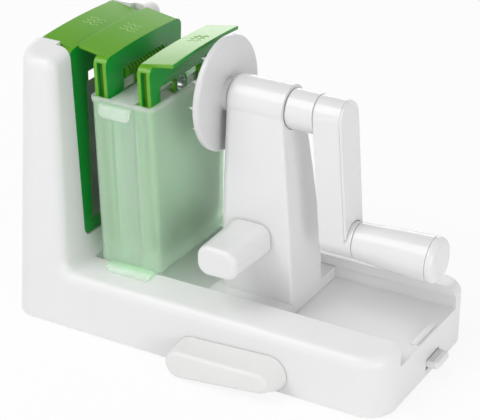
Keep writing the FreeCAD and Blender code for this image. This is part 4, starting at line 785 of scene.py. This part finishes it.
def container_feet(sizes, low, high):
    """The two feet on the crowned rails, with sloping soles: one is made, and mirrored."""
    middle = (low.x + high.x) / 2 + sizes.foot_offset
    half = sizes.foot_length / 2
    inner, outer = sizes.reach - sizes.lean - sizes.foot_root, high.y
    top = low.z + sizes.stand + sizes.foot_overlap
    shape = start_block("feet", (middle - half, inner, low.z), (middle + half, outer, top))

    def at_inner_sole(edge):
        return all(point.z < low.z + SAME_PLACE and point.y < inner + SAME_PLACE
                   for point in ends(shape, edge))

    def at_outer_corner(edge):
        return upright(shape, edge) and ends(shape, edge)[0].y > outer - SAME_PLACE

    choose(shape, "EDGE", at_inner_sole)
    bpy.ops.transform.translate(value=(0.0, 0.0, sizes.sole_rise))
    round_edges(shape, at_outer_corner, sizes.foot_corner)
    soften(shape, sizes.foot_edge)
    mirror_pair(shape)
    return shape


class SLICER_OT_container(bpy.types.Operator):
    """Model and finish the storage box with its rim, tab and feet"""

    bl_idname = "slicer.container"
    bl_label = "Storage box"

    def execute(self, context):
        colours, sizes = context.scene.slicer_colours, context.scene.slicer_container
        low, high = (Vector(corner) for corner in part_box("storage_box"))
        box = join("container", container_shell(sizes, low, high),
                   container_tab(sizes, low, high), container_feet(sizes, low, high))
        plastic = clear_plastic(
            "Clear green plastic", colours.container, colours.container_painted_glow,
            context.scene.slicer_surfaces, rim=high.z - sizes.lip_height,
            front=sizes.reach + sizes.lip)
        coat(box, plastic)
        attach(box, "box")
        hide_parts("storage_box")
        return {"FINISHED"}


# ---------------------------------------------------------------- carriage

class SLICER_OT_carriage(bpy.types.Operator):
    """Finish the carriage, the disc and the crank"""

    bl_idname = "slicer.carriage"
    bl_label = "Carriage and crank"

    def execute(self, context):
        colours, surfaces = context.scene.slicer_colours, context.scene.slicer_surfaces
        glossy = moulded_plastic("Mechanism plastic", colours.mechanism, surfaces, duller=-0.1)
        finish(glossy, "carriage_housing", "carriage_bottom", "push_grip", "crank_hub",
               "crank_arm", "crank_handle", "handle_cap", "crank_arm_cover")
        # The disc is the white plastic painted darker, as painted shade.
        shaded_disc = moulded_plastic("Disc plastic", colours.shaded_disc, surfaces, duller=-0.06)
        finish(shaded_disc, "spiked_disc")
        return {"FINISHED"}


# ---------------------------------------------------------------- stage

def soft_lamp(name, place, aim, size, power):
    """An oblong area lamp turned towards a point."""
    bpy.ops.object.light_add(type="AREA", location=place)
    lamp = bpy.context.object
    lamp.name = name
    lamp.data.shape = "RECTANGLE"
    lamp.data.size, lamp.data.size_y = size
    lamp.data.energy = power
    lamp.rotation_euler = (aim - Vector(place)).to_track_quat("-Z", "Y").to_euler()


def seen_ray(tree):
    """1 for rays that show the background itself, in sight, gloss or glass."""
    path = add(tree, "LightPath").outputs
    seen = maths(tree, "MAXIMUM", path["Is Camera Ray"], path["Is Glossy Ray"])
    return maths(tree, "MAXIMUM", seen, path["Is Transmission Ray"])


def pale_floor(colour):
    """White to the eye, with the slicer's soft shadow on it."""
    material, tree, shader = new_material("Floor")
    settle(shader, Base_Color=(*colour, 1.0), Roughness=0.9)
    glow = add(tree, "Emission", Strength=1.0)
    share_out(tree, ramp(tree, seen_ray(tree), high=0.86), shader, glow)
    return material


def horizon_glow(tree, stage):
    """White from below up to a low height, then falling to the ceiling's brightness."""
    place = add(tree, "SeparateXYZ")
    tree.links.new(add(tree, "TexCoord").outputs["Generated"], place.inputs["Vector"])
    return ramp(tree, place.outputs["Z"], start=math.sin(stage.white_up_to),
                end=math.sin(stage.ceiling_from), low=1.0, high=stage.ceiling,
                kind="SMOOTHSTEP")


def white_sky(stage):
    """Even light, white in sight and at the horizon of reflections."""
    world = bpy.data.worlds.new("White surroundings")
    world.use_nodes = True
    tree = world.node_tree
    background = tree.nodes["Background"]
    settle(background, Color=(1.0, 1.0, 1.0, 1.0))
    gloss = add(tree, "Mix")
    glossy_ray = add(tree, "LightPath").outputs["Is Glossy Ray"]
    tree.links.new(glossy_ray, gloss.inputs["Factor"])
    tree.links.new(ramp(tree, seen_ray(tree), low=stage.sky), gloss.inputs["A"])
    tree.links.new(horizon_glow(tree, stage), gloss.inputs["B"])
    tree.links.new(gloss.outputs["Result"], background.inputs["Strength"])
    return world


def aimed_camera(stage, aim):
    """The camera, a set distance from the aim point and turned towards it."""
    bpy.ops.object.camera_add()
    camera = bpy.context.object
    camera.name = "camera"
    flat = math.cos(stage.elevation)
    back = Vector((math.sin(stage.azimuth) * flat, -math.cos(stage.azimuth) * flat,
                   math.sin(stage.elevation)))
    camera.location = aim + back * stage.distance
    camera.rotation_euler = (-back).to_track_quat("-Z", "Y").to_euler()
    camera.data.lens = stage.focal_length
    camera.data.shift_x = SHIFT_RIGHT / IMAGE_WIDTH
    camera.data.shift_y = SHIFT_UP / IMAGE_WIDTH
    return camera


class SLICER_OT_stage(bpy.types.Operator):
    """Set the floor, the lamps and the camera"""

    bl_idname = "slicer.stage"
    bl_label = "Stage"

    def execute(self, context):
        scene = context.scene
        stage = scene.slicer_stage
        aim = Vector((stage.aim_along, 0.0, stage.aim_height))
        bpy.ops.object.select_all(action="DESELECT")
        bpy.ops.mesh.primitive_plane_add(size=8.0)
        floor = context.object
        floor.name = "floor"
        coat(floor, pale_floor(scene.slicer_colours.floor))
        for name, place, size, power in LAMPS:
            soft_lamp(name, place, aim, size, getattr(stage, power))
        scene.world = white_sky(stage)
        scene.view_settings.view_transform = "Standard"
        scene.camera = aimed_camera(stage, aim)
        return {"FINISHED"}


# ---------------------------------------------------------------- add-on

SETTINGS = {
    "slicer_colours": SlicerColours,
    "slicer_surfaces": SlicerSurfaces,
    "slicer_marks": SlicerMarks,
    "slicer_container": SlicerContainer,
    "slicer_stage": SlicerStage,
}
OPERATORS = (SLICER_OT_housing, SLICER_OT_lever, SLICER_OT_cartridges, SLICER_OT_marks,
             SLICER_OT_container, SLICER_OT_carriage, SLICER_OT_stage)


class SLICER_PT_panel(bpy.types.Panel):
    """Lists the pieces and their settings"""

    bl_idname = "SLICER_PT_panel"
    bl_label = "Spiral slicer"
    bl_space_type = "VIEW_3D"
    bl_region_type = "UI"
    bl_category = "Slicer"

    def draw(self, context):
        for settings in SETTINGS:
            group = getattr(context.scene, settings)
            column = self.layout.column()
            for name in group.__annotations__:
                column.prop(group, name)
        for operator in OPERATORS:
            self.layout.operator(operator.bl_idname)


CLASSES = (*SETTINGS.values(), *OPERATORS, SLICER_PT_panel)


def register():
    for item in CLASSES:
        bpy.utils.register_class(item)
    for name, group in SETTINGS.items():
        setattr(bpy.types.Scene, name, PointerProperty(type=group))


def unregister():
    for name in SETTINGS:
        delattr(bpy.types.Scene, name)
    for item in reversed(CLASSES):
        bpy.utils.unregister_class(item)


def main():
    register()
    bpy.ops.slicer.housing()
    bpy.ops.slicer.lever()
    bpy.ops.slicer.cartridges()
    bpy.ops.slicer.marks()
    bpy.ops.slicer.container()
    bpy.ops.slicer.carriage()
    bpy.ops.slicer.stage()


if __name__ == "__main__":
    main()
